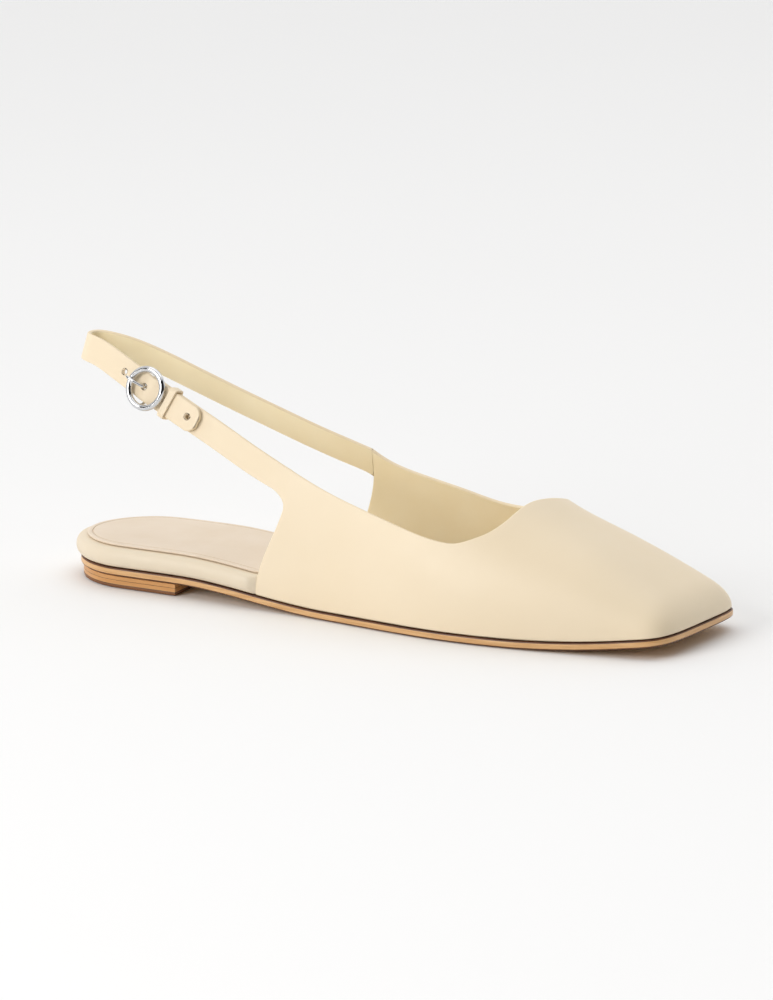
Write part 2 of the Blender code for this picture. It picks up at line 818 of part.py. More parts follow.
def box_cutter(name, low, high, matrix, cutters):
    """Make a box cutter between two corners in a matrix's own frame."""
    bpy.ops.mesh.primitive_cube_add(size=1.0)
    made = bpy.context.object
    made.name = name
    size = Vector(high) - Vector(low)
    middle = (Vector(high) + Vector(low)) / 2
    made.matrix_world = matrix @ Matrix.Translation(middle) @ Matrix.Diagonal((*size, 1.0))
    return helper(made, cutters)


def wire(name, points, diameter, matrix, collection, finish, rounding=3):
    """Make a bent wire from points in a matrix's own frame, as a mesh with welded caps."""
    curve = bpy.data.curves.new(name + "_line", "CURVE")
    curve.dimensions = "3D"
    curve.bevel_depth = diameter / 2
    curve.bevel_resolution = rounding
    curve.use_fill_caps = True
    spline = curve.splines.new("POLY")
    spline.points.add(len(points) - 1)
    for target, point in zip(spline.points, points):
        target.co = (*point, 1.0)
    line = bpy.data.objects.new(name + "_line", curve)
    collection.objects.link(line)
    bpy.context.view_layer.update()
    graph = bpy.context.evaluated_depsgraph_get()
    mesh = bpy.data.meshes.new_from_object(line.evaluated_get(graph))
    shape = bmesh.new()
    shape.from_mesh(mesh)
    bmesh.ops.remove_doubles(shape, verts=shape.verts, dist=0.00001)
    bmesh.ops.recalc_face_normals(shape, faces=shape.faces)
    shape.to_mesh(mesh)
    shape.free()
    bpy.data.objects.remove(line)
    mesh.materials.clear()
    made = bpy.data.objects.new(name, mesh)
    made.matrix_world = matrix
    return dress(made, collection, finish)


def front_offset(path, distance):
    """Return how far out the front strap's outer face lies from the course."""
    buckle = path.distance(LATERAL, BUCKLE_AHEAD)
    end = path.length - buckle - FRONT_BLEND
    sunk = 1 - ease(TAIL_LENGTH + TAIL_CLEAR, end, distance - buckle)
    return FRONT_FACE * sunk


def sling_offset(path, distance):
    """Return how far out the heel strap's outer face lies from the course."""
    buckle = path.distance(LATERAL, BUCKLE_AHEAD)
    back = path.distance(LATERAL, 0.0)
    lifted = TAIL_FACE * ease(back, buckle - LIFT_END, distance)
    reach = min(1.0, abs(distance - buckle) / DOME_REACH)
    return lifted + STRAP_DOME * math.cos(math.pi / 2 * reach) ** 2


def build_upper(ribs, path, collection, cutters):
    """Make the upper: vamp, wings and front strap in one wall, open underneath."""
    buckle = path.distance(LATERAL, BUCKLE_AHEAD)
    places = even_steps(buckle + 0.5 * BAR_WIRE, path.length - FILLET_REACH, STRAP_STEP)
    places += [path.length - FILLET_REACH * step for step in ROOT_STEPS[-2::-1]]
    columns = [(WALL_ROWS, path.row(spot, front_offset(path, spot))) for spot in places]
    columns += [(0, rib) for rib in ribs[LATERAL]]
    columns += [(0, rib) for rib in ribs[MEDIAL][-2::-1]]
    finish = material("upper_leather", CREAM, 0.42)
    upper = wall_sheet("upper", columns, collection, finish, WALL)

    seat = path.matrix(buckle) @ Matrix.Translation((0, 0, BAR_LEVEL))
    across = seat @ Matrix.Rotation(math.radians(-90), 4, "X")
    eye = round_cutter("eye", EYE_RADIUS, STRAP_WIDTH, across, cutters, 20)
    cut(upper, eye, "UNION")
    cut(upper, round_cutter("bar_hole", BAR_WIRE / 2 + SEAM, 2 * STRAP_WIDTH, across, cutters))
    slot = PRONG_WIRE / 2 + SEAM
    reach = HOOK_RADIUS + PRONG_WIRE / 2 + SEAM
    deep = 3 * EYE_RADIUS
    cut(upper, box_cutter("prong_slot", (-deep, -slot, -deep), (reach, slot, deep), seat, cutters))
    return upper


def build_heel_strap(path, collection, cutters):
    """Make the strap from the medial wing round the heel to its tail past the buckle."""
    buckle = path.distance(LATERAL, BUCKLE_AHEAD)
    tip = buckle + TAIL_LENGTH
    bend = path.distance(LATERAL, 0.0)
    places = [SEAM + FILLET_REACH * step for step in (0.0, *ROOT_STEPS[1:-1])]
    places += even_steps(SEAM + FILLET_REACH, bend - BEND_REACH, SIDE_STEP)
    places += even_steps(bend - BEND_REACH, bend + BEND_REACH, BEND_STEP)[1:]
    places += even_steps(bend + BEND_REACH, tip - TAIL_ROUND, TAIL_STEP)[1:]
    columns = [(0, path.row(spot, sling_offset(path, spot))) for spot in places]
    for part in TIP_STATIONS:
        spot = tip - TAIL_ROUND * (1 - part)
        width = STRAP_WIDTH * math.sqrt(1 - (TIP_FULLNESS * part) ** 2)
        columns.append((0, path.row(spot, sling_offset(path, spot), width)))
    finish = material("strap_leather", CREAM, 0.42)
    strap = wall_sheet("heel_strap", columns, collection, finish, STRAP_THICKNESS)
    for number, step in enumerate(HOLE_STEPS):
        spot = buckle - HOOK_RADIUS + step * HOLE_PITCH
        matrix = path.matrix(spot)
        name = "hole_" + str(number)
        cut(strap, round_cutter(name, HOLE_DIAMETER / 2, STRAP_WIDTH, matrix, cutters, 10))
    return strap


def build_buckle(path, collection, cutters):
    """Make the ring with its centre bar, and the prong that hooks on the bar."""
    matrix = path.matrix(path.distance(LATERAL, BUCKLE_AHEAD))
    metal = material("buckle_metal", METAL, 0.15, 1.0)
    bpy.ops.mesh.primitive_torus_add(
        major_segments=36, minor_segments=10, major_radius=RING_RADIUS, minor_radius=RING_WIRE / 2)
    ring = bpy.context.object
    ring.name = "buckle_ring"
    for old in list(ring.users_collection):
        old.objects.unlink(ring)
    ring.matrix_world = matrix @ Matrix.Translation((0, 0, RING_LEVEL))
    dress(ring, collection, metal)

    flat = STRAP_WIDTH / 2 + BAR_CLEAR
    side = []
    for out, up in BAR_BEND:
        side.append((0, mix(flat, RING_RADIUS, out), mix(BAR_LEVEL, RING_LEVEL, up)))
    mirrored = [(x, -y, z) for x, y, z in side]
    bar = wire("centre_bar", mirrored + side[::-1], BAR_WIRE, matrix, collection, metal)
    cut(ring, helper(bar, cutters), "UNION")

    hook = []
    for degrees in range(-10, -181, -17):
        angle = math.radians(degrees)
        hook.append((HOOK_RADIUS * math.cos(angle), 0, BAR_LEVEL + HOOK_RADIUS * math.sin(angle)))
    over_strap = TAIL_FACE + STRAP_DOME + SEAM + PRONG_WIRE / 2
    over_ring = RING_LEVEL + RING_WIRE / 2 + SEAM + PRONG_WIRE / 2
    shank = [(-HOOK_RADIUS, 0, BAR_LEVEL)]
    for back, up in PRONG_BEND:
        shank.append((-HOOK_RADIUS - back, 0, over_strap + up))
    shank += [(-reach, 0, over_ring) for reach in (0.7 * RING_RADIUS, RING_RADIUS)]
    shank.append((-RING_DIAMETER / 2, 0, over_ring - PRONG_DROP))
    wire("buckle_prong", hook + shank, PRONG_WIRE, matrix, collection, metal, 2)


def build_keeper(path, collection):
    """Make the loop that holds the tail on the front strap, next to the ring."""
    distance = path.distance(LATERAL, BUCKLE_AHEAD) + KEEPER_AHEAD
    spot, along, up, outward = path.frame(distance)
    middle = spot + outward * (TAIL_FACE + FRONT_FACE - WALL) / 2
    high = (TAIL_FACE - FRONT_FACE + WALL) / 2 + SEAM
    wide = STRAP_WIDTH / 2 + SEAM
    loops = []
    for grow in (KEEPER_THICKNESS, 0.0):
        loop = []
        radius = KEEPER_ROUND + grow
        for quarter in range(4):
            sign_up = 1 if quarter in (0, 1) else -1
            sign_out = 1 if quarter in (0, 3) else -1
            corner_up = sign_up * (wide + grow - radius)
            corner_out = sign_out * (high + grow - radius)
            for step in range(4):
                angle = math.radians(-90 * quarter + 90 - 30 * step)
                loop.append((corner_up + radius * math.cos(angle),
                             corner_out + radius * math.sin(angle)))
        loops.append(loop)
    count = len(loops[0])
    points = []
    for end in (-0.5, 0.5):
        for loop in loops:
            for high_place, far in loop:
                points.append(middle + along * KEEPER_WIDTH * end + up * high_place + outward * far)
    faces = []
    for first, second in ((0, 1), (1, 3), (3, 2), (2, 0)):
        for i in range(count):
            j = (i + 1) % count
            faces.append([first * count + i, first * count + j, second * count + j,
                          second * count + i])
    finish = material("keeper_leather", CREAM, 0.42)
    return mesh_object("keeper", points, faces, collection, finish)


def main():
    """Clear the scene and build the shoe."""
    for item in list(bpy.data.objects):
        bpy.data.objects.remove(item)
    parts = new_collection("sling_back_flat")
    cutters = new_collection("cutters")
    build_outsole(parts)
    build_heel(parts)
    build_footbed(parts)
    build_sock(parts)
    ribs = upper_ribs()
    path = StrapPath(ribs)
    build_upper(ribs, path, parts, cutters)
    build_heel_strap(path, parts, cutters)
    build_buckle(path, parts, cutters)
    build_keeper(path, parts)


main()
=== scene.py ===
"""The looks of a sling back flat: the right shoe, in cream leather with a tan sole.

Places are worked out along the shoe. "Ahead" is the distance from the back of the heel, "out" is
the distance from the long axis, and a side is -1 for lateral and +1 for medial.
"""

from collections import namedtuple
import math

import bmesh
import bpy
import numpy as np
from mathutils import Color, Matrix, Vector


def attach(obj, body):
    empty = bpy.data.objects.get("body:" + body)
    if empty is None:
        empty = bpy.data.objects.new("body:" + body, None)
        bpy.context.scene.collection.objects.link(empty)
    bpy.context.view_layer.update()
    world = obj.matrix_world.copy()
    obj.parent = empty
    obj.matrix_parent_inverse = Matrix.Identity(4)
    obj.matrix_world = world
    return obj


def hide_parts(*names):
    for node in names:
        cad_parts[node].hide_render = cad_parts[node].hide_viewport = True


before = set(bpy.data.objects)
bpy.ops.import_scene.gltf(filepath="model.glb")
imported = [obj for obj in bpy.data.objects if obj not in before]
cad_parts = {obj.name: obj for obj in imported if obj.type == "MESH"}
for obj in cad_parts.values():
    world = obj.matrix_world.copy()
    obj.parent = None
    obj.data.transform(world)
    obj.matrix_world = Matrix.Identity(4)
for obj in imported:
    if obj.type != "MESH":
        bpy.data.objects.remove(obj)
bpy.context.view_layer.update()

MM = 0.001
LATERAL = -1
MEDIAL = 1


def table(columns, *rows):
    """Return the rows of a table whose columns have names."""
    kind = namedtuple("Row", columns)
    return [kind(*row) for row in rows]


# Main sizes of the shoe
LENGTH = 258.0 * MM
BALL_WIDTH = 78.0 * MM
INSTEP_HEIGHT = 88.0 * MM
HEEL_HEIGHT = 4.5 * MM
TOE_SPRING = 5.6 * MM

# Clearance between pieces that meet
SEAM = 0.3 * MM
INSOLE_GAP = 0.5 * MM

# Sole, heel and insole
OUTSOLE_THICKNESS = 3.0 * MM
HEEL_LENGTH = 51.0 * MM
HEEL_INSET = 1.0 * MM
FOOTBED_THICKNESS = 7.4 * MM
FOREPART_THICKNESS = 2.6 * MM
FOOTBED_ROUND = 2.6 * MM
RAND_SWELL = 1.8 * MM
SOCK_THICKNESS = 0.9 * MM
SOCK_INSET = 2.6 * MM
TOE_ROOM = 4.5 * MM

# Upper and strap
WALL = 1.7 * MM
FEATHER_INSET = 0.4 * MM
STRAP_WIDTH = 10.2 * MM
STRAP_THICKNESS = 1.7 * MM
STRAP_LEAN = math.radians(15)
STRAP_BACK_HEIGHT = 87.0 * MM
ROOT_FILLET = {LATERAL: 4.5 * MM, MEDIAL: 1.2 * MM}
FILLET_REACH = 7.0 * MM
ROOT_BLEND = 20.0 * MM

# Buckle, its holes and the keeper
BUCKLE_AHEAD = 34.3 * MM
RING_DIAMETER = 17.0 * MM
RING_WIRE = 2.4 * MM
RING_CLEAR = 0.45 * MM
BAR_WIRE = 1.2 * MM
PRONG_WIRE = 1.1 * MM
PRONG_DROP = 0.2 * MM
EYE_WALL = 0.85 * MM
BAR_CLEAR = 0.3 * MM
STRAP_DOME = 0.8 * MM
HOLE_PITCH = 10.9 * MM
HOLE_DIAMETER = 1.9 * MM
HOLE_STEPS = (-1, 0, 1, 2)
TAIL_LENGTH = 25.4 * MM
TAIL_ROUND = 4.0 * MM
TAIL_CLEAR = 2.0 * MM
FRONT_BLEND = 6.0 * MM
KEEPER_AHEAD = 10.4 * MM
KEEPER_WIDTH = 2.8 * MM
KEEPER_THICKNESS = 0.9 * MM
KEEPER_ROUND = 0.7 * MM

# Where the layers lie at the buckle, outward from the strap's course
LAYER = STRAP_THICKNESS + SEAM
TAIL_FACE = 0.3 * LAYER
FRONT_FACE = TAIL_FACE - LAYER
RING_RADIUS = (RING_DIAMETER - RING_WIRE) / 2
RING_LEVEL = TAIL_FACE + RING_CLEAR + RING_WIRE / 2
EYE_RADIUS = BAR_WIRE / 2 + SEAM + EYE_WALL
BAR_LEVEL = TAIL_FACE - STRAP_THICKNESS + STRAP_DOME - SEAM - EYE_RADIUS
HOOK_RADIUS = (BAR_WIRE + PRONG_WIRE) / 2 + SEAM
LIFT_END = 1.3 * RING_RADIUS
DOME_REACH = 0.8 * RING_RADIUS

# Shape of the heel and toe ends of the outline
HEEL_CAP = 25.8 * MM
TOE_CAP = 15.0 * MM
TOE_SKEW = 3.4 * MM
TOE_SQUARE = 4.4
SKEW_REACH = 39.0 * MM
ROUND_SECTION = 2.2
SWELL_PEAK = 0.8

# Where the sole leaves the ground, as shares of the length
SEAT_END = 0.20
WAIST_END = 0.46
SPRING_START = 0.72
FOREPART_START = 0.56
WAIST_START = 0.40

# Where the sections change from round to square, and the ridge from medial to middle
SQUARE_START = {LATERAL: 0.64, MEDIAL: 0.76}
SQUARE_END = 0.94
RIDGE_SHIFT = 4.0 * MM
RIDGE_START = 0.76
RIDGE_END = 0.94

# The outline of the outsole, as shares of the length and of the ball width
OUTLINE = table(
    "at lateral medial",
    (0.00, 0.303, 0.306),
    (0.10, 0.327, 0.344),
    (0.20, 0.340, 0.341),
    (0.33, 0.376, 0.305),
    (0.45, 0.417, 0.306),
    (0.55, 0.467, 0.372),
    (0.65, 0.501, 0.462),
    (0.72, 0.496, 0.494),
    (0.82, 0.459, 0.473),
    (0.92, 0.405, 0.418),
    (1.00, 0.371, 0.360),
)

# The last above the sole: its crown as shares of the instep height, and how far each side
# swells past the sole's edge, as shares of the ball width
SECTIONS = table(
    "at crown lateral_swell medial_swell",
    (0.33, 1.020, 0.013, 0.070),
    (0.43, 0.965, 0.013, 0.077),
    (0.57, 0.800, 0.015, 0.040),
    (0.65, 0.696, 0.010, 0.015),
    (0.75, 0.532, 0.008, 0.008),
    (0.85, 0.394, 0.006, 0.006),
    (0.95, 0.253, 0.003, 0.003),
    (1.00, 0.180, 0.000, 0.000),
)

# The topline from a wing's rear corner to the middle of the throat: a share of the length on
# each side, and the share of the crown's height that the edge reaches there
TOPLINE = table(
    "lateral medial rise",
    (0.384, 0.422, 0.598),
    (0.430, 0.447, 0.566),
    (0.477, 0.482, 0.549),
    (0.570, 0.570, 0.543),
    (0.646, 0.650, 0.555),
    (0.667, 0.670, 0.586),
    (0.687, 0.694, 0.651),
    (0.707, 0.716, 0.737),
    (0.721, 0.733, 0.827),
    (0.729, 0.745, 0.902),
    (0.733, 0.751, 0.952),
    (0.736, 0.752, 0.981),
    (0.746, 0.746, 1.000),
)

# The foot of each wing's rear edge, and the last upright rib, as shares of the length
WING_FOOT = {LATERAL: 0.337, MEDIAL: 0.392}
WING_FRONT = 0.50

# How far up its rib a wing's rear edge has run to its corner, and how far the vamp's ribs lean
# toward the throat
REAR_EDGE_TOP = 0.86
THROAT_LEAD = 0.6

# The strap's course from the back of the heel to a wing's rear corner, as shares of the way
# ahead, of the way out and of the way down
COURSE = table(
    "run spread drop",
    (0.000, 0.000, 0.000),
    (0.004, 0.088, 0.000),
    (0.013, 0.153, 0.001),
    (0.030, 0.213, 0.004),
    (0.055, 0.252, 0.012),
    (0.090, 0.290, 0.030),
    (0.160, 0.378, 0.088),
    (0.320, 0.530, 0.266),
    (0.480, 0.645, 0.452),
    (0.650, 0.755, 0.640),
    (0.810, 0.868, 0.815),
    (1.000, 1.000, 1.000),
)

# How finely the curved pieces are divided
HEEL_STATIONS = (0.08, 0.16, 0.24, 0.32, 0.40, 0.48, 0.56, 0.64, 0.71, 0.78, 0.84, 0.89, 0.94,
                 0.97, 0.99)
TOE_STATIONS = (0.998, 0.992, 0.982, 0.965, 0.94, 0.91, 0.87, 0.82, 0.76, 0.69, 0.60, 0.48,
                0.32, 0.16)
BODY_STATIONS = 70
WING_COLUMNS = 16
VAMP_COLUMNS = 84
WALL_ROWS = 30
BAND_ROWS = 10
ROOT_STEPS = (0.01, 0.04, 0.09, 0.16, 0.26, 0.38, 0.52, 0.67, 0.83, 1.0)
ROW_GRADING = 1.3
RIB_GRADING = 2.6
CURVE_POINTS = 220
STRAP_POINTS = 900
STRAP_STEP = 1.2 * MM
BEND_STEP = 0.6 * MM
BEND_REACH = 18.0 * MM
CORNER_WEIGHT = 18.0 * MM
DIRECTION_STEP = 0.4 * MM
TIP_STATIONS = (0.2, 0.4, 0.55, 0.68, 0.78, 0.86, 0.92, 0.96, 0.985)
TIP_FULLNESS = 0.96

# How the centre bar bends up to the ring, as shares of the way out and of the way up, and how
# the prong leaves its hole, as distances back and up
BAR_BEND = ((1.0, 1.0), (0.96, 0.6), (0.80, 0.25), (0.50, 0.08), (0.0, 0.0))
PRONG_BEND = ((0.0, -0.3 * MM), (0.3 * MM, 0.3 * MM), (1.0 * MM, 0.7 * MM))

# Shares used in fitting the footbed into the upper
ROOM_DROP = 1.2 * WALL
ROOM_SWELL = 0.75

# How far inside its edge a flat face has its inner ring, the gap before a straight end, and the
# distance under which points are merged
FLAT_RING = 12.0 * MM
END_GAP = 1.5 * MM
MERGE_GAP = 0.01 * MM

# How round the leather's cut edges are, the steps and degrees of the rounding, and how much
# large faces weigh in its shading
EDGE_ROUND = 0.45 * MM
KEEPER_EDGE = 0.25 * MM
EDGE_STEPS = 3
EDGE_ANGLE = 50
KEEPER_ANGLE = 60
SHADING_WEIGHT = 60

# The degrees from which a corner is shaded sharp, on the sole and heel and on the sock and metal
SHARP_ANGLE = 40
SOFT_ANGLE = 60

# How full the footbed's swollen edge is, and the degrees between its rings
RAND_FULLNESS = 0.62
RAND_TURN = 15

# Rings round the sole, the heel's top piece and the sock, from below up: how far each lies inside
# the outline, how high it lies, and the look of the band or the lower end that finishes there
Ring = namedtuple("Ring", "inset rise look")
OUTSOLE_RINGS = [
    Ring(FLAT_RING, 0.0, "underside"),
    Ring(2.0 * MM, 0.0, "underside"),
    Ring(0.55 * MM, 0.03 * MM, "underside"),
    Ring(0.15 * MM, 0.25 * MM, "dark_line"),
    Ring(0.0, 0.6 * MM, "dark_line"),
    Ring(0.0, 1.3 * MM, "sole_edge"),
    Ring(0.0, 2.0 * MM, "sole_edge"),
    Ring(0.05 * MM, 2.45 * MM, "sole_edge"),
    # The dark bands along the upper corner and over the top face are painted shade where the upper's
    # edge meets the sole
    Ring(0.25 * MM, 2.8 * MM, "dark_line"),
    Ring(0.9 * MM, OUTSOLE_THICKNESS, "dark_line"),
    Ring(FLAT_RING, OUTSOLE_THICKNESS, "dark_line"),
]
TOP_PIECE_RINGS = [
    Ring(0.45 * MM, 0.0, "top_piece"),
    Ring(0.12 * MM, 0.12 * MM, "top_piece"),
    Ring(0.0, 0.45 * MM, "top_piece"),
    Ring(0.0, 1.15 * MM, "top_piece"),
]
SOCK_RINGS = [
    Ring(FLAT_RING, 0.0, "sock"),
    Ring(0.2 * MM, 0.0, "sock"),
    Ring(0.0, 0.2 * MM, "sock"),
    Ring(0.0, 0.62 * MM, "sock"),
    Ring(0.25 * MM, 0.80 * MM, "sock"),
    Ring(1.2 * MM, 0.88 * MM, "sock"),
    Ring(1.75 * MM, 0.84 * MM, "sock"),
    # The walls of the pressed line's groove take a darker colour, painted shade inside the groove
    Ring(2.0 * MM, 0.55 * MM, "sock_line"),
    Ring(2.25 * MM, 0.84 * MM, "sock_line"),
    Ring(3.0 * MM, SOCK_THICKNESS, "sock"),
    Ring(FLAT_RING, SOCK_THICKNESS, "sock"),
]

# The heights of the heel's top piece and of half a joint between its lifts
TOP_PIECE = 1.3 * MM
LIFTS = 2
LIFT_JOINT = 0.07 * MM

# The material slot of a wall's cut edges, and how near the strap's start an end face lies: along
# the strap, across it as a share of its width, and how squarely it faces along the strap
RIM = 2
END_DEPTH = 1.5 * MM
END_WIDTH = 0.8
END_FACING = 0.5

# The keeper's corners: the degrees where each starts, and which way it lies up and out. A corner
# turns a quarter, with a point every few degrees
KEEPER_CORNERS = table(
    "start up out",
    (90, 1, 1),
    (0, 1, -1),
    (-90, -1, -1),
    (-180, -1, 1),
)
CORNER_TURN = 15
QUARTER = 90

# The prong's hook in degrees from its start to its end, and its places over the ring as shares of
# the ring's radius
HOOK_TURNS = range(-10, -181, -10)
OVER_RING = (0.7, 1.0)

# How rough a coat is, and the range of a noise that is spread over a surface's two extremes
COAT_ROUGHNESS = 0.35
NOISE_LOW = 0.3
NOISE_HIGH = 0.7

# Where the camera stands and looks, in metres, and its focal length as a share of the sensor
CAMERA_SPOT = (1.4127, -2.5975, 0.7640)
CAMERA_TARGET = (0.1005, 0.0, 0.0400)
FOCAL_SHARE = 8.05

# The lamps: where each stands and points and how wide it is in metres, and its power in watts
LAMPS = table(
    "name spot target width power colour",
    ("key", (-0.9, -2.2, 1.1), (0.1, 0.0, 0.03), 1.3, 36.0, (1.0, 0.985, 0.965)),
    ("top", (0.2, 0.6, 2.2), (0.1, 0.0, 0.0), 2.4, 10.0, (1.0, 0.99, 0.98)),
)

# The direction of the room's dark near wall, and how bright the room is by height and by how
# directly a place faces that wall
NEAR_WALL = (0.45, -0.89, 0.0)
WALL_HEIGHT = ((0.0, 0.02), (0.66, 0.02), (0.78, 1.0), (1.0, 1.0))
WALL_WIDTH = ((0.0, 1.0), (0.04, 1.0), (0.14, 0.03), (1.0, 0.03))
WORLD_STRENGTH = 0.92

# Half the floor's width in metres, and how far it lies under the sole
FLOOR_REACH = 20.0
FLOOR_DROP = 0.2 * MM


def mix(first, second, part):
    """Return the value that lies a given part of the way between two others."""
    return first + (second - first) * part


def ease(low, high, value):
    """Return 0 below one value and 1 above another, with a smooth rise between."""
    part = min(1.0, max(0.0, (value - low) / (high - low)))
    return part * part * (3 - 2 * part)


def fair_curve(places, values):
    """Return a function that follows a natural cubic through the given values."""
    x = np.array(places, float)
    y = np.array(values, float)
    count = len(x)
    step = np.diff(x)
    slope = np.diff(y) / step
    system = np.eye(count)
    target = np.zeros(count)
    for i in range(1, count - 1):
        system[i, i - 1:i + 2] = step[i - 1], 2 * (step[i - 1] + step[i]), step[i]
        target[i] = 6 * (slope[i] - slope[i - 1])
    bend = np.linalg.solve(system, target)

    def value(spot):
        i = int(min(max(np.searchsorted(x, spot) - 1, 0), count - 2))
        after = spot - x[i]
        left = step[i] - after
        cubic = (bend[i] * left ** 3 + bend[i + 1] * after ** 3) / (6 * step[i])
        start = y[i] / step[i] - bend[i] * step[i] / 6
        end = y[i + 1] / step[i] - bend[i + 1] * step[i] / 6
        return float(cubic + start * left + end * after)

    return value


def table_curve(rows, column):
    """Return the fair curve through one column of a table."""
    return fair_curve([row.at for row in rows], [getattr(row, column) for row in rows])


WIDTH = {LATERAL: table_curve(OUTLINE, "lateral"), MEDIAL: table_curve(OUTLINE, "medial")}
CROWN = table_curve(SECTIONS, "crown")
SWELL = {
    LATERAL: table_curve(SECTIONS, "lateral_swell"),
    MEDIAL: table_curve(SECTIONS, "medial_swell"),
}


def heel_round(ahead, inset):
    """Return how much of its width the outline has in the round of the heel."""
    gap = max(0.0, 1 - (ahead - inset) / (HEEL_CAP - inset))
    return math.sqrt(max(0.0, 1 - gap ** 2))


def toe_reach(ahead, inset):
    """Return how far a place lies into the rounded corners of the toe, from 0 to 1."""
    reach = (ahead - (LENGTH - TOE_CAP)) / (TOE_CAP - inset)
    return min(1.0, max(0.0, reach))


def toe_corner(reach):
    """Return the share of the width that the toe's square corner has at a share of its reach."""
    return max(0.0, 1 - reach ** TOE_SQUARE) ** (1 / TOE_SQUARE)


def plain_width(side, ahead, inset):
    """Return the outline's distance from the axis before its ends are rounded."""
    return WIDTH[side](ahead / LENGTH) * BALL_WIDTH - inset


def underside(ahead):
    """Return the height of the outsole's underside over the ground."""
    at = ahead / LENGTH
    seat = (HEEL_HEIGHT + SEAM) * (1 - ease(SEAT_END, WAIST_END, at))
    spring = max(0.0, (at - SPRING_START) / (1 - SPRING_START)) ** 2
    return seat + TOE_SPRING * spring


def outsole_top(ahead):
    """Return the height of the outsole's upper face."""
    return underside(ahead) + OUTSOLE_THICKNESS


def feather(ahead):
    """Return the height of the lower edge of the upper and the footbed."""
    return outsole_top(ahead) + SEAM


def footbed_thickness(ahead):
    """Return the footbed's thickness, full behind and thin inside the toe."""
    thin = ease(WAIST_START, FOREPART_START, ahead / LENGTH)
    return mix(FOOTBED_THICKNESS, FOREPART_THICKNESS, thin)


def footbed_top(ahead):
    """Return the height of the footbed's upper face."""
    return feather(ahead) + footbed_thickness(ahead)


def squareness(side, ahead):
    """Return the exponent of the last's section, round at the ball and square at the toe."""
    square = ease(SQUARE_START[side], SQUARE_END, ahead / LENGTH)
    return mix(ROUND_SECTION, TOE_SQUARE, square)


def crown_rise(ahead):
    """Return the height of the last's ridge over the feather edge."""
    return CROWN(ahead / LENGTH) * INSTEP_HEIGHT - feather(ahead)


def ridge(ahead):
    """Return how far toward the medial side the last's ridge lies."""
    return RIDGE_SHIFT * (1 - ease(RIDGE_START, RIDGE_END, ahead / LENGTH))


def rise_at(ahead, y):
    """Return the share of the crown's height that the last has at a place in plan."""
    side = MEDIAL if y > ridge(ahead) else LATERAL
    edge = side * plain_width(side, ahead, FEATHER_INSET)
    across = abs((y - ridge(ahead)) / (edge - ridge(ahead))) ** squareness(side, ahead)
    along = toe_reach(ahead, FEATHER_INSET) ** TOE_SQUARE
    return math.sqrt(max(0.0, 1 - across - along))


def plan_at(side, ahead, rise, inset=FEATHER_INSET):
    """Return where in plan the last has a share of the crown's height."""
    along = toe_reach(ahead, inset) ** TOE_SQUARE
    left = max(0.0, 1 - rise ** 2 - along)
    edge = side * plain_width(side, ahead, inset)
    return mix(ridge(ahead), edge, left ** (1 / squareness(side, ahead)))


def swell_at(side, ahead, rise):
    """Return how far the last swells past its plain section."""
    return SWELL[side](ahead / LENGTH) * BALL_WIDTH * math.sin(math.pi * min(1.0, rise) ** SWELL_PEAK)


def last_point(ahead, y):
    """Return the point of the upper's outer face over a place in plan."""
    rise = rise_at(ahead, y)
    side = MEDIAL if y > ridge(ahead) else LATERAL
    swollen = y + side * swell_at(side, ahead, rise)
    return Vector((ahead, swollen, feather(ahead) + rise * crown_rise(ahead)))


def room_out(side, ahead, height):
    """Return how far out a piece inside the upper may reach at a height."""
    inset = FEATHER_INSET + WALL + INSOLE_GAP
    rise = (height - feather(ahead)) / (crown_rise(ahead) - ROOM_DROP)
    out = side * plan_at(side, ahead, rise, inset)
    return out + swell_at(side, ahead, ROOM_SWELL * rise)


def place(point):
    """Move a point from the heel's back to the part's origin, with the toe's slight skew."""
    reach = ease(LENGTH - SKEW_REACH, LENGTH, point[0])
    skew = TOE_SKEW * reach * point[1] / (BALL_WIDTH / 2)
    origin = HEEL_INSET + HEEL_LENGTH / 2
    return Vector((point[0] + skew - origin, point[1], point[2]))


def walked(points):
    """Return the distance walked along a row of points, up to each of them."""
    steps = [(b - a).length for a, b in zip(points, points[1:])]
    return np.concatenate(([0.0], np.cumsum(steps)))


def point_along(points, walk, distance):
    """Return the point that lies a distance along a row of points."""
    return Vector([float(np.interp(distance, walk, [p[i] for p in points])) for i in range(3)])


def turned(points, weight):
    """Return a measure along a row of points that grows with its length and its turns."""
    measure = [0.0]
    for i in range(1, len(points)):
        step = points[i] - points[i - 1]
        turn = 0.0
        if i > 1:
            turn = step.angle(points[i - 1] - points[i - 2], 0.0)
        measure.append(measure[-1] + step.length + weight * turn)
    return np.array(measure)


def topline_plan():
    """Return the whole topline in plan, from the lateral wing to the medial wing."""
    knots = []
    for side, rows in ((LATERAL, TOPLINE), (MEDIAL, TOPLINE[-2::-1])):
        for row in rows:
            ahead = LENGTH * (row.lateral if side == LATERAL else row.medial)
            knots.append(Vector((ahead, plan_at(side, ahead, row.rise), 0.0)))
    walk = walked(knots)
    along = fair_curve(walk, [knot[0] for knot in knots])
    out = fair_curve(walk, [knot[1] for knot in knots])
    middle = walk[len(TOPLINE) - 1]
    lateral = np.linspace(0.0, middle, CURVE_POINTS)
    medial = np.linspace(walk[-1], middle, CURVE_POINTS)
    halves = {}
    for side, places in ((LATERAL, lateral), (MEDIAL, medial)):
        halves[side] = [Vector((along(t), out(t), 0.0)) for t in places]
    return halves


def toe_steps():
    """Return places round the toe's corner, as reaches ahead and shares of the width."""
    steps = []
    for value in np.linspace(0.0, 1.0, CURVE_POINTS):
        steps += [(value, toe_corner(value)), (toe_corner(value), value)]
    return sorted(steps, key=lambda step: step[0] - step[1])[1:]


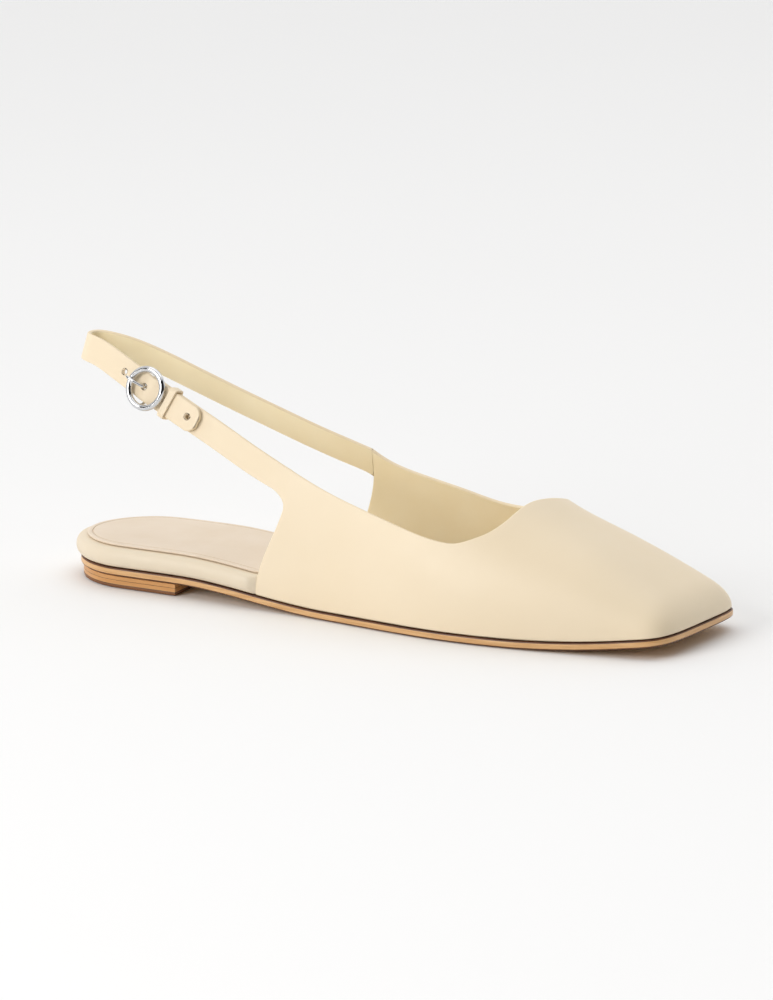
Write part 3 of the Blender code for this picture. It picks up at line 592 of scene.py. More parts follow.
def feather_plan(side):
    """Return the upper's lower edge in plan, from the last upright rib to the toe's middle."""
    start = WING_FRONT * LENGTH
    toe_start = LENGTH - TOE_CAP
    points = []
    for ahead in np.linspace(start, toe_start, CURVE_POINTS):
        points.append(Vector((ahead, side * plain_width(side, ahead, FEATHER_INSET), 0.0)))
    for reach, part in toe_steps():
        ahead = toe_start + (TOE_CAP - FEATHER_INSET) * reach
        points.append(Vector((ahead, side * plain_width(side, ahead, FEATHER_INSET) * part, 0.0)))
    return points


def wing_rib(side, part, top):
    """Return a rib of a wing, a part of the way from its rear edge to the upright rib."""
    front = WING_FRONT * LENGTH
    foot = WING_FOOT[side] * LENGTH
    head = top[0][0]
    ahead_top = mix(head, front, part)
    y_top = float(np.interp(ahead_top, [point[0] for point in top], [point[1] for point in top]))
    rise_top = rise_at(ahead_top, y_top)
    points = []
    for step in np.linspace(0.0, 1.0, CURVE_POINTS):
        rear = mix(foot, head, ease(0.0, REAR_EDGE_TOP, step))
        ahead = mix(rear, front, part)
        points.append(last_point(ahead, plan_at(side, ahead, step * rise_top)))
    return points


def vamp_rib(low, high):
    """Return a rib of the vamp over a straight line in plan."""
    points = [Vector((low[0], low[1], feather(low[0])))]
    for step in np.linspace(0.0, 1.0, CURVE_POINTS)[1:] ** RIB_GRADING:
        spot = low.lerp(high, step)
        points.append(last_point(spot[0], spot[1]))
    return points


def spaced_rib(side, points):
    """Return a rib's points in rows: graded up the wall, even in the band under the topline."""
    walk = walked(points)
    height = STRAP_WIDTH + ROOT_FILLET[side]
    band = walk[-1] - height
    wall = [band * (i / WALL_ROWS) ** ROW_GRADING for i in range(WALL_ROWS)]
    edge = [band + height * i / BAND_ROWS for i in range(BAND_ROWS + 1)]
    return [point_along(points, walk, distance) for distance in wall + edge]


def side_ribs(side, top):
    """Return the ribs of one side of the upper, from its rear edge to the toe's middle."""
    ribs = [wing_rib(side, i / WING_COLUMNS, top) for i in range(WING_COLUMNS)]
    low = feather_plan(side)
    high = [point for point in top if point[0] > WING_FRONT * LENGTH]
    edge = turned(low, CORNER_WEIGHT)
    throat = walked(high)
    for i in range(VAMP_COLUMNS + 1):
        part = i / VAMP_COLUMNS
        foot = point_along(low, edge, part * edge[-1])
        lead = part + THROAT_LEAD * part * (1 - part)
        head = point_along(high, throat, lead * throat[-1])
        ribs.append(vamp_rib(foot, head))
    return [spaced_rib(side, rib) for rib in ribs]


def upper_ribs():
    """Return the ribs of both sides of the upper, each from its wing to the toe's middle."""
    halves = topline_plan()
    return {side: side_ribs(side, halves[side]) for side in (LATERAL, MEDIAL)}


class StrapPath:
    """The strap's course, from the medial wing round the heel to the lateral wing."""

    def __init__(self, ribs):
        roots = {}
        self.root_up = {}
        for side in (LATERAL, MEDIAL):
            band = ribs[side][0][WALL_ROWS:]
            self.root_up[side] = (band[-1] - band[0]).normalized()
            roots[side] = band[-1] - self.root_up[side] * STRAP_WIDTH / 2
        knots = []
        for side, rows in ((MEDIAL, COURSE[:0:-1]), (LATERAL, COURSE)):
            root = roots[side]
            for row in rows:
                height = mix(STRAP_BACK_HEIGHT, root[2], row.drop)
                knots.append(Vector((row.run * root[0], row.spread * root[1], height)))
        walk = walked(knots)
        curves = [fair_curve(walk, [knot[i] for knot in knots]) for i in range(3)]
        places = np.linspace(0.0, walk[-1], STRAP_POINTS)
        self.points = [Vector([curve(t) for curve in curves]) for t in places]
        self.walk = walked(self.points)
        self.length = float(self.walk[-1])
        self.back = self.distance(0.0)
        self.buckle = self.distance(BUCKLE_AHEAD)

    def distance(self, ahead):
        """Return how far along the course its lateral side is a given way ahead."""
        reached = [point[0] for point in self.points]
        back = int(np.argmin(reached))
        return float(np.interp(ahead, reached[back:], self.walk[back:]))

    def frame(self, distance):
        """Return the strap's middle, its direction, its width's direction and its outward face."""
        low = max(0.0, distance - DIRECTION_STEP)
        high = min(self.length, distance + DIRECTION_STEP)
        spot = point_along(self.points, self.walk, distance)
        before = point_along(self.points, self.walk, low)
        after = point_along(self.points, self.walk, high)
        along = (after - before).normalized()
        outward = Vector((along.y, -along.x, 0.0)).normalized()
        up = Vector((0, 0, 1)) * math.cos(STRAP_LEAN) - outward * math.sin(STRAP_LEAN)
        up = (up - along * up.dot(along)).normalized()
        for side, near in ((MEDIAL, distance), (LATERAL, self.length - distance)):
            up = self.root_up[side].lerp(up, ease(0.0, ROOT_BLEND, near)).normalized()
        return spot, along, up, along.cross(up).normalized()

    def row(self, distance, offset, width=STRAP_WIDTH):
        """Return the points across the strap, which widens downward where it meets a wing."""
        spot, _, up, outward = self.frame(distance)
        side = MEDIAL if distance < self.length / 2 else LATERAL
        near = max(0.0, min(distance, self.length - distance))
        away = 1 - min(1.0, near / FILLET_REACH)
        fillet = ROOT_FILLET[side] * (1 - math.sqrt(1 - away ** 2))
        low = spot + outward * offset - up * (width / 2 + fillet)
        return [low + up * (width + fillet) * i / BAND_ROWS for i in range(BAND_ROWS + 1)]

    def matrix(self, distance):
        """Return the frame at a distance as a matrix: along, up and outward."""
        spot, along, up, _ = self.frame(distance)
        ahead = place(spot + along * MM) - place(spot)
        ahead.normalize()
        up = (up - ahead * up.dot(ahead)).normalized()
        turn = Matrix((ahead, up, ahead.cross(up))).transposed()
        return Matrix.Translation(place(spot)) @ turn.to_4x4()


def even_steps(start, end, step):
    """Return even places from one distance to another, both kept."""
    count = max(2, int(round(abs(end - start) / step)))
    return [float(value) for value in np.linspace(start, end, count + 1)]


class Finish:
    """A Principled material that is built up node by node in the shoe's own coordinates."""

    def __init__(self, name, roughness, metallic=0.0, coat=0.0):
        self.material = bpy.data.materials.new(name)
        self.material.use_nodes = True
        self.tree = self.material.node_tree
        self.shader = self.tree.nodes["Principled BSDF"]
        self.shader.inputs["Roughness"].default_value = roughness
        self.shader.inputs["Metallic"].default_value = metallic
        self.shader.inputs["Coat Weight"].default_value = coat
        self.shader.inputs["Coat Roughness"].default_value = COAT_ROUGHNESS
        self.coords = self.tree.nodes.new("ShaderNodeTexCoord").outputs["Object"]
        self.height = None

    def node(self, kind, values, links=None):
        """Add a node, set its inputs by name and link others to earlier outputs."""
        made = self.tree.nodes.new("ShaderNode" + kind)
        for key, value in values.items():
            if key in made.inputs:
                made.inputs[key].default_value = value
            else:
                setattr(made, key, value)
        for key, output in (links or {}).items():
            self.tree.links.new(output, made.inputs[key])
        return made

    def stretched(self, along, across, up):
        """Return the coordinates drawn out along the three axes."""
        made = self.node("Mapping", {"Scale": (along, across, up)}, {"Vector": self.coords})
        return made.outputs["Vector"]

    def noise(self, size, detail, coords=None):
        """Return a soft noise whose features have about a given size in metres."""
        links = {"Vector": coords or self.coords}
        made = self.node("TexNoise", {"Scale": 1 / size, "Detail": detail}, links)
        return made.outputs["Fac"]

    def pebbles(self, size):
        """Return the distance inside small pebbles of about a given size in metres."""
        made = self.node("TexVoronoi", {"Scale": 1 / size}, {"Vector": self.coords})
        return made.outputs["Distance"]

    def colours(self, value, first, second):
        """Colour the surface between two colours by a noise."""
        ramp = self.node("ValToRGB", {}, {"Fac": value})
        ends = ((NOISE_LOW, first), (NOISE_HIGH, second))
        for element, (position, colour) in zip(ramp.color_ramp.elements, ends):
            element.position = position
            element.color = (*linear(colour), 1.0)
        self.tree.links.new(ramp.outputs["Color"], self.shader.inputs["Base Color"])
        self.material.diffuse_color = (*linear(first), 1.0)

    def gloss(self, value, low, high):
        """Vary the roughness between two values by a noise."""
        values = {"From Min": NOISE_LOW, "From Max": NOISE_HIGH, "To Min": low, "To Max": high}
        made = self.node("MapRange", values, {"Value": value})
        self.tree.links.new(made.outputs["Result"], self.shader.inputs["Roughness"])

    def bump(self, value, depth, strength):
        """Raise the surface by a value, over the bumps that it has."""
        links = {"Height": value}
        if self.height:
            links["Normal"] = self.height
        made = self.node("Bump", {"Distance": depth, "Strength": strength}, links)
        self.height = made.outputs["Normal"]
        self.tree.links.new(self.height, self.shader.inputs["Normal"])


def linear(colour):
    """Return a colour given as six hexadecimal digits in linear light."""
    parts = [int(colour[i:i + 2], 16) / 255 for i in (0, 2, 4)]
    return Color(parts).from_srgb_to_scene_linear()


def smooth_leather(name, light, dark, roughness, grain):
    """Make a fine smooth leather: cloudy in tone, with a tight grain and soft pores."""
    made = Finish(name, roughness, coat=0.06)
    made.colours(made.noise(45 * MM, detail=3.0), dark, light)
    made.gloss(made.noise(6 * MM, detail=5.0), roughness - 0.05, roughness + 0.06)
    made.bump(made.noise(9 * MM, detail=4.0), depth=0.12 * MM, strength=0.35)
    made.bump(made.pebbles(0.75 * MM), depth=0.03 * MM, strength=grain)
    made.bump(made.noise(0.4 * MM, detail=2.0), depth=0.02 * MM, strength=grain)
    return made.material


def lining_leather(name, light, dark, roughness):
    """Make a matte lining leather with a short nap and fine creases."""
    made = Finish(name, roughness)
    made.shader.inputs["Sheen Weight"].default_value = 0.12
    made.shader.inputs["Sheen Roughness"].default_value = 0.5
    made.colours(made.noise(18 * MM, detail=5.0), dark, light)
    made.gloss(made.noise(4 * MM, detail=4.0), roughness - 0.05, roughness + 0.08)
    made.bump(made.noise(2.2 * MM, detail=6.0), depth=0.08 * MM, strength=0.35)
    made.bump(made.noise(0.3 * MM, detail=3.0), depth=0.03 * MM, strength=0.5)
    return made.material


def edge_leather(name, light, dark, roughness):
    """Make a cut and waxed leather edge with fibres that run along the sole."""
    made = Finish(name, roughness, coat=0.25)
    fibres = made.noise(1.2 * MM, detail=6.0, coords=made.stretched(0.10, 0.10, 1.4))
    made.colours(fibres, dark, light)
    made.gloss(made.noise(3 * MM, detail=4.0), roughness - 0.06, roughness + 0.10)
    made.bump(fibres, depth=0.12 * MM, strength=0.35)
    return made.material


def sole_leather(name, light, dark, roughness):
    """Make the underside's leather, with long mottling and fine scratches."""
    made = Finish(name, roughness, coat=0.15)
    made.colours(made.noise(20 * MM, detail=6.0), dark, light)
    scratches = made.noise(1.6 * MM, detail=5.0, coords=made.stretched(0.06, 1.0, 1.0))
    made.gloss(scratches, roughness - 0.08, roughness + 0.12)
    made.bump(scratches, depth=0.05 * MM, strength=0.4)
    made.bump(made.noise(0.7 * MM, detail=4.0), depth=0.04 * MM, strength=0.5)
    return made.material


def polished_metal(name):
    """Make polished plated metal with faint wear."""
    made = Finish(name, roughness=0.07, metallic=1.0)
    made.colours(made.noise(4 * MM, detail=3.0), "C9CACC", "DEDFE1")
    made.gloss(made.noise(1.5 * MM, detail=5.0), low=0.03, high=0.08)
    return made.material


def painted_floor(name):
    """Make the pale matte floor."""
    made = Finish(name, roughness=0.85)
    made.colours(made.noise(500 * MM, detail=2.0), "F5F5F5", "F6F6F6")
    made.bump(made.noise(2 * MM, detail=2.0), depth=0.02 * MM, strength=0.1)
    return made.material


def new_object(name, data):
    """Put an object with given data into the scene."""
    made = bpy.data.objects.new(name, data)
    bpy.context.scene.collection.objects.link(made)
    return made


def add_object(name, points, faces, finishes, slots=None):
    """Make an object from points in the shoe's frame, with a material for each face."""
    mesh = bpy.data.meshes.new(name)
    mesh.from_pydata([place(point) for point in points], [], faces)
    for finish in finishes:
        mesh.materials.append(finish)
    if slots:
        mesh.polygons.foreach_set("material_index", slots)
    mesh.shade_smooth()
    return new_object(name, mesh)


def finish_piece(piece, node):
    """Let a piece stand for a node of the frame and ride with it."""
    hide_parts(node)
    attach(piece, "root")
    return piece


def close_mesh(piece):
    """Merge the points of a piece that fall together and turn its faces outward."""
    shape = bmesh.new()
    shape.from_mesh(piece.data)
    bmesh.ops.remove_doubles(shape, verts=shape.verts, dist=MERGE_GAP)
    bmesh.ops.recalc_face_normals(shape, faces=shape.faces)
    shape.to_mesh(piece.data)
    shape.free()


def round_edges(piece, width, angle=EDGE_ANGLE):
    """Round a piece's sharp edges and even out its shading."""
    bevel = piece.modifiers.new("round", "BEVEL")
    bevel.width = width
    bevel.segments = EDGE_STEPS
    bevel.limit_method = "ANGLE"
    bevel.angle_limit = math.radians(angle)
    bevel.use_clamp_overlap = False
    shading = piece.modifiers.new("shading", "WEIGHTED_NORMAL")
    shading.weight = SHADING_WEIGHT


def shade_by_angle(piece, angle=SHARP_ANGLE):
    """Shade a piece smooth, with its corners left sharp."""
    piece.data.shade_smooth()
    piece.data.set_sharp_from_angle(angle=math.radians(angle))


def ring_places(inset, toe_inset):
    """Return the places along the shoe of one ring round the sole, from heel to toe."""
    toe_start = LENGTH - TOE_CAP
    cap = HEEL_CAP - inset
    places = [inset]
    places += [inset + cap * (1 - math.sqrt(1 - part ** 2)) for part in HEEL_STATIONS]
    places += [float(value) for value in np.linspace(HEEL_CAP, toe_start, BODY_STATIONS)]
    places += [toe_start + (TOE_CAP - toe_inset) * toe_corner(part) for part in TOE_STATIONS]
    return places + [LENGTH - toe_inset]


def ring_width(side, ahead, inset, toe_inset):
    """Return how far out a ring round the sole lies."""
    ends = heel_round(ahead, inset) * toe_corner(toe_reach(ahead, toe_inset))
    return plain_width(side, ahead, inset) * ends


def sole_ring(inset, height, toe_inset=None, limit=None, end=None):
    """Return one ring round the sole: its lateral points and its medial points, heel to toe."""
    toe_inset = inset if toe_inset is None else toe_inset
    places = ring_places(inset, toe_inset)
    if end:
        places = [ahead for ahead in places if ahead < end - END_GAP] + [end - max(0.0, inset)]
    ring = {LATERAL: [], MEDIAL: []}
    for side, points in ring.items():
        for ahead in places:
            z = height(ahead)
            out = ring_width(side, ahead, inset, toe_inset)
            if limit:
                out = min(out, limit(side, ahead, z))
            points.append(Vector((ahead, side * out, z)))
    return ring


def end_faces(base, whole):
    """Return the faces across a ring, given its first point and its number of points."""
    pairs = [(base + i, base + whole - 1 - i) for i in range(whole // 2 - 1)]
    return [[lateral, lateral + 1, medial - 1, medial] for lateral, medial in pairs]


def band_faces(base, whole):
    """Return the faces between a ring and the next one."""
    steps = [(base + i, base + (i + 1) % whole) for i in range(whole)]
    return [[this, other, other + whole, this + whole] for this, other in steps]


def stack(name, rings, bands, top, looks):
    """Join rings round the sole, one over the other, into a solid with flat ends.

    The bands name the look of the lower end and of each band between rings, and the top names
    that of the upper end.
    """
    kinds = sorted(set(bands), key=bands.index)
    whole = len(rings[0][LATERAL]) + len(rings[0][MEDIAL])
    parts = [(bands[0], end_faces(0, whole)), (top, end_faces(whole * (len(rings) - 1), whole))]
    parts += [(band, band_faces(whole * i, whole)) for i, band in enumerate(bands[1:])]
    points = [point for ring in rings for point in ring[LATERAL][::-1] + ring[MEDIAL]]
    faces = [face for _, group in parts for face in group]
    slots = [kinds.index(kind) for kind, group in parts for _ in group]
    piece = add_object(name, points, faces, [looks[kind] for kind in kinds], slots)
    close_mesh(piece)
    return piece


def level(rise, base=None):
    """Return a height that lies a given rise over the ground or over a base along the shoe."""
    return lambda ahead: rise + (base(ahead) if base else 0.0)


def make_outsole(looks):
    """Dress the sole: pale underside, waxed tan edge and dark lines along its corners, the upper one
    painted shade where the upper meets the sole.
    """
    rings = [sole_ring(row.inset, level(row.rise, underside)) for row in OUTSOLE_RINGS]
    bands = [row.look for row in OUTSOLE_RINGS]
    piece = stack("outsole_dressed", rings, bands, "dark_line", looks)
    shade_by_angle(piece)
    return finish_piece(piece, "outsole")


def heel_rows():
    """Return the rows of the heel's rings: the top piece, and lifts with a joint under each."""
    rows = list(TOP_PIECE_RINGS)
    lift = (HEEL_HEIGHT - TOP_PIECE) / LIFTS
    for number in range(LIFTS):
        base = TOP_PIECE + number * lift
        rows.append(Ring(LIFT_JOINT, base, "dark_line"))
        rows.append(Ring(0.0, base + LIFT_JOINT, "dark_line"))
        rows.append(Ring(0.0, base + lift - LIFT_JOINT, "heel_edge"))
    return rows + [Ring(LIFT_JOINT, HEEL_HEIGHT, "dark_line")]


def make_heel(looks):
    """Dress the heel: stacked lifts with fine joints, over a dark top piece."""
    rows = heel_rows()
    end = HEEL_INSET + HEEL_LENGTH
    rings = [sole_ring(HEEL_INSET + row.inset, level(row.rise), end=end) for row in rows]
    bands = [row.look for row in rows]
    piece = stack("heel_block_dressed", rings, bands, "heel_edge", looks)
    shade_by_angle(piece)
    return finish_piece(piece, "heel_block")


def inside_limit(side, ahead, height, inset=0.0):
    """Return how far out a piece may reach inside the wings and the vamp."""
    if ahead < WING_FOOT[side] * LENGTH:
        return BALL_WIDTH
    return room_out(side, ahead, height) - inset


def footbed_level(share):
    """Return the height of a share of the footbed's thickness."""
    return lambda ahead: mix(feather(ahead), footbed_top(ahead), share)


def make_footbed(looks):
    """Dress the footbed: leather drawn round a soft board, fullest at the middle of its edge."""
    rows = [(FLAT_RING, 0.0)]
    for degrees in range(-QUARTER, QUARTER + 1, RAND_TURN):
        angle = math.radians(degrees)
        swell = (FOOTBED_ROUND + RAND_SWELL) * math.cos(angle) ** RAND_FULLNESS
        rows.append((FOOTBED_ROUND - swell, 0.5 + 0.5 * math.sin(angle)))
    rows.append((FLAT_RING, 1.0))
    rings = []
    for inset, share in rows:
        toe = TOE_ROOM + max(0.0, inset)
        rings.append(sole_ring(inset, footbed_level(share), toe, inside_limit))
    piece = stack("footbed_wrapped", rings, ["rand"] * len(rings), "rand", looks)
    return finish_piece(piece, "footbed")


def sock_limit(inset):
    """Return the limit of a ring of the sock, which stays on the flat of the footbed."""
    drawn_in = FOOTBED_ROUND + inset
    return lambda side, ahead, _: inside_limit(side, ahead, footbed_top(ahead), drawn_in)


def make_sock(looks):
    """Dress the sock: a soft cushioned sheet with a pressed line inside its edge, its groove painted
    darker as shade.
    """
    rings = []
    for row in SOCK_RINGS:
        depth = SOCK_INSET + row.inset
        height = level(SEAM + row.rise, footbed_top)
        rings.append(sole_ring(depth, height, TOE_ROOM + depth, sock_limit(row.inset)))
    bands = [row.look for row in SOCK_RINGS]
    piece = stack("sock_lining", rings, bands, "sock", looks)
    shade_by_angle(piece, SOFT_ANGLE)
    return finish_piece(piece, "sock")


def wall(name, columns, finishes, thickness):
    """Make a wall from columns of points on its outer face, each with the row it starts at."""
    points = []
    index = []
    for first, column in columns:
        index.append({first + j: len(points) + j for j in range(len(column))})
        points += column
    faces = []
    for left, right in zip(index, index[1:]):
        for j in left:
            if j + 1 in left and j in right and j + 1 in right:
                faces.append([left[j], right[j], right[j + 1], left[j + 1]])
    piece = add_object(name, points, faces, finishes)
    solid = piece.modifiers.new("wall", "SOLIDIFY")
    solid.thickness = thickness
    solid.offset = -1.0
    solid.use_even_offset = True
    solid.material_offset = 1
    solid.material_offset_rim = RIM
    return piece


def cut(piece, cutter, operation="DIFFERENCE"):
    """Cut one object from another, or join it."""
    boolean = piece.modifiers.new(cutter.name, "BOOLEAN")
    boolean.operation = operation
    boolean.solver = "EXACT"
    boolean.object = cutter


def apply_modifiers(piece, cutters):
    """Turn a piece with its modifiers into a plain mesh and remove its cutters."""
    graph = bpy.context.evaluated_depsgraph_get()
    mesh = bpy.data.meshes.new_from_object(piece.evaluated_get(graph))
    piece.modifiers.clear()
    piece.data = mesh
    for cutter in cutters:
        bpy.data.objects.remove(cutter)


def open_end(piece, path):
    """Take off the end faces where the strap and the medial wing run into each other."""
    spot, along = path.frame(0.0)[:2]
    middle = place(spot)
    shape = bmesh.new()
    shape.from_mesh(piece.data)
    ends = []
    for face in shape.faces:
        away = face.calc_center_median() - middle
        near = abs(away.dot(along)) < END_DEPTH and away.length < END_WIDTH * STRAP_WIDTH
        facing = abs(face.normal.dot(along)) > END_FACING
        if near and facing and face.material_index == RIM:
            ends.append(face)
    bmesh.ops.delete(shape, geom=ends, context="FACES")
    shape.to_mesh(piece.data)
    shape.free()


def named_cutter(name, matrix):
    """Name the object that was added last and place it by a matrix."""
    made = bpy.context.object
    made.name = name
    made.matrix_world = matrix
    return made


def round_cutter(name, radius, length, matrix, sides=32):
    """Make a round cutter about the Z axis of a matrix."""
    bpy.ops.mesh.primitive_cylinder_add(vertices=sides, radius=radius, depth=length)
    return named_cutter(name, matrix)


def box_cutter(name, low, high, matrix):
    """Make a box cutter between two corners in a matrix's own frame."""
    bpy.ops.mesh.primitive_cube_add(size=1.0)
    size = Vector(high) - Vector(low)
    middle = Matrix.Translation((Vector(high) + Vector(low)) / 2)
    return named_cutter(name, matrix @ middle @ Matrix.Diagonal((*size, 1.0)))


def front_offset(path, distance):
    """Return how far out the front strap's outer face lies from the course."""
    end = path.length - path.buckle - FRONT_BLEND
    sunk = 1 - ease(TAIL_LENGTH + TAIL_CLEAR, end, distance - path.buckle)
    return FRONT_FACE * sunk


def sling_offset(path, distance):
    """Return how far out the heel strap's outer face lies from the course."""
    lifted = TAIL_FACE * ease(path.back, path.buckle - LIFT_END, distance)
    reach = min(1.0, abs(distance - path.buckle) / DOME_REACH)
    return lifted + STRAP_DOME * math.cos(math.pi / 2 * reach) ** 2


def cut_eye(piece, path):
    """Give the front strap's end its eye, with a hole for the bar and a slot for the prong."""
    seat = path.matrix(path.buckle) @ Matrix.Translation((0, 0, BAR_LEVEL))
    across = seat @ Matrix.Rotation(math.radians(-90), 4, "X")
    slot = PRONG_WIRE / 2 + SEAM
    reach = HOOK_RADIUS + slot
    deep = 3 * EYE_RADIUS
    cutters = [
        round_cutter("eye", EYE_RADIUS, STRAP_WIDTH, across),
        round_cutter("bar_hole", BAR_WIRE / 2 + SEAM, 2 * STRAP_WIDTH, across),
        box_cutter("prong_slot", (-deep, -slot, -deep), (reach, slot, deep), seat),
    ]
    for cutter, operation in zip(cutters, ("UNION", "DIFFERENCE", "DIFFERENCE")):
        cut(piece, cutter, operation)
    apply_modifiers(piece, cutters)


def make_upper(ribs, path, looks):
    """Dress the upper: outer leather, lining and a folded edge all round its openings."""
    start = path.buckle + 0.5 * BAR_WIRE
    places = even_steps(start, path.length - FILLET_REACH, STRAP_STEP)
    places += [path.length - FILLET_REACH * step for step in ROOT_STEPS[-2::-1]]
    columns = [(WALL_ROWS, path.row(spot, front_offset(path, spot))) for spot in places]
    columns += [(0, rib) for rib in ribs[LATERAL]]
    columns += [(0, rib) for rib in ribs[MEDIAL][-2::-1]]
    finishes = [looks["leather"], looks["lining"], looks["edge"]]
    piece = wall("upper_leather", columns, finishes, WALL)
    cut_eye(piece, path)
    open_end(piece, path)
    round_edges(piece, EDGE_ROUND)
    return finish_piece(piece, "upper")


def sling_columns(path):
    """Return the columns of the heel strap, from the medial wing to its round tip."""
    tip = path.buckle + TAIL_LENGTH
    before = path.back - BEND_REACH
    after = path.back + BEND_REACH
    places = [FILLET_REACH * step for step in (0.0, *ROOT_STEPS[1:-1])]
    places += even_steps(FILLET_REACH, before, STRAP_STEP)
    places += even_steps(before, after, BEND_STEP)[1:]
    places += even_steps(after, tip - TAIL_ROUND, STRAP_STEP)[1:]
    columns = [(0, path.row(spot, sling_offset(path, spot))) for spot in places]
    for part in TIP_STATIONS:
        spot = tip - TAIL_ROUND * (1 - part)
        width = STRAP_WIDTH * math.sqrt(1 - (TIP_FULLNESS * part) ** 2)
        columns.append((0, path.row(spot, sling_offset(path, spot), width)))
    return columns


def make_heel_strap(path, looks):
    """Dress the heel strap: rounded edges, punched holes and a round tip."""
    finishes = [looks["strap"], looks["lining"], looks["edge"]]
    piece = wall("heel_strap_leather", sling_columns(path), finishes, STRAP_THICKNESS)
    cutters = []
    for step in HOLE_STEPS:
        matrix = path.matrix(path.buckle - HOOK_RADIUS + step * HOLE_PITCH)
        name = "hole_" + str(len(cutters))
        cutters.append(round_cutter(name, HOLE_DIAMETER / 2, STRAP_WIDTH, matrix, sides=24))
        cut(piece, cutters[-1])
    apply_modifiers(piece, cutters)
    open_end(piece, path)
    round_edges(piece, EDGE_ROUND)
    return finish_piece(piece, "heel_strap")


def tube(shape, points, radius, matrix, sides=16):
    """Add a bent wire with round ends to a shape, from points in a matrix's own frame."""
    spots = [Vector(point) for point in points]
    rings = []
    before = None
    for i, spot in enumerate(spots):
        forward = spots[min(i + 1, len(spots) - 1)] - spots[max(i - 1, 0)]
        forward.normalize()
        if before is None:
            before = forward.orthogonal().normalized()
        side = (before - forward * before.dot(forward)).normalized()
        before = side
        other = forward.cross(side)
        ring = []
        for k in range(sides):
            angle = 2 * math.pi * k / sides
            reach = side * math.cos(angle) + other * math.sin(angle)
            ring.append(shape.verts.new(matrix @ (spot + reach * radius)))
        rings.append(ring)
    for low, high in zip(rings, rings[1:]):
        for k in range(sides):
            j = (k + 1) % sides
            shape.faces.new([low[k], low[j], high[j], high[k]])
    shape.faces.new(rings[0][::-1])
    shape.faces.new(rings[-1])


def metal_object(name, shape, looks):
    """Make an object of polished metal from a shape."""
    bmesh.ops.recalc_face_normals(shape, faces=shape.faces)
    mesh = bpy.data.meshes.new(name)
    shape.to_mesh(mesh)
    shape.free()
    mesh.materials.append(looks["metal"])
    piece = new_object(name, mesh)
    shade_by_angle(piece, SOFT_ANGLE)
    return piece


def add_torus(shape, matrix, turns=96, sides=28):
    """Add the buckle's ring to a shape."""
    grid = []
    for i in range(turns):
        angle = 2 * math.pi * i / turns
        row = []
        for k in range(sides):
            roll = 2 * math.pi * k / sides
            out = RING_RADIUS + RING_WIRE / 2 * math.cos(roll)
            high = RING_LEVEL + RING_WIRE / 2 * math.sin(roll)
            spot = Vector((out * math.cos(angle), out * math.sin(angle), high))
            row.append(shape.verts.new(matrix @ spot))
        grid.append(row)
    for i in range(turns):
        for k in range(sides):
            low, high = grid[i], grid[(i + 1) % turns]
            j = (k + 1) % sides
            shape.faces.new([low[k], high[k], high[j], low[j]])


def make_ring(path, looks):
    """Dress the buckle's ring with its centre bar."""
    matrix = path.matrix(path.buckle)
    shape = bmesh.new()
    add_torus(shape, matrix)
    flat = STRAP_WIDTH / 2 + BAR_CLEAR
    side = []
    for out, up in BAR_BEND:
        side.append((0, mix(flat, RING_RADIUS, out), mix(BAR_LEVEL, RING_LEVEL, up)))
    mirrored = [(x, -y, z) for x, y, z in side]
    tube(shape, mirrored + side[::-1], BAR_WIRE / 2, matrix)
    ring = metal_object("buckle_ring_polished", shape, looks)
    return finish_piece(ring, "buckle_ring")


def make_prong(path, looks):
    """Dress the prong, hooked on the bar, through its hole and over the ring."""
    points = []
    for degrees in HOOK_TURNS:
        angle = math.radians(degrees)
        points.append((HOOK_RADIUS * math.cos(angle), 0, BAR_LEVEL + HOOK_RADIUS * math.sin(angle)))
    over_strap = TAIL_FACE + STRAP_DOME + SEAM + PRONG_WIRE / 2
    over_ring = RING_LEVEL + RING_WIRE / 2 + SEAM + PRONG_WIRE / 2
    points += [(-HOOK_RADIUS - back, 0, over_strap + up) for back, up in PRONG_BEND]
    points += [(-share * RING_RADIUS, 0, over_ring) for share in OVER_RING]
    points.append((-RING_DIAMETER / 2, 0, over_ring - PRONG_DROP))
    shape = bmesh.new()
    matrix = path.matrix(path.buckle)
    tube(shape, points, PRONG_WIRE / 2, matrix)
    prong = metal_object("buckle_prong_polished", shape, looks)
    return finish_piece(prong, "buckle_prong")


def keeper_loop(grow):
    """Return the keeper's inner loop, grown outward, as places up and out from its middle."""
    high = (TAIL_FACE - FRONT_FACE + WALL) / 2 + SEAM
    wide = STRAP_WIDTH / 2 + SEAM
    radius = KEEPER_ROUND + grow
    loop = []
    for corner in KEEPER_CORNERS:
        for degrees in range(corner.start, corner.start - QUARTER - 1, -CORNER_TURN):
            angle = math.radians(degrees)
            up = corner.up * (wide + grow - radius) + radius * math.cos(angle)
            out = corner.out * (high + grow - radius) + radius * math.sin(angle)
            loop.append((up, out))
    return loop


def make_keeper(path, looks):
    """Dress the loop that holds the tail on the front strap."""
    spot, along, up, outward = path.frame(path.buckle + KEEPER_AHEAD)
    middle = spot + outward * (TAIL_FACE + FRONT_FACE - WALL) / 2
    points = []
    for end in (-KEEPER_WIDTH / 2, KEEPER_WIDTH / 2):
        for grow in (KEEPER_THICKNESS, 0.0):
            for high, far in keeper_loop(grow):
                points.append(middle + along * end + up * high + outward * far)
    count = len(points) // 4
    faces = []
    for first, second in ((0, 1), (1, 3), (3, 2), (2, 0)):
        low, high = first * count, second * count
        for i in range(count):
            j = (i + 1) % count
            faces.append([low + i, low + j, high + j, high + i])
    piece = add_object("keeper_leather", points, faces, [looks["strap"]])
    close_mesh(piece)
    round_edges(piece, KEEPER_EDGE, KEEPER_ANGLE)
    return finish_piece(piece, "keeper")


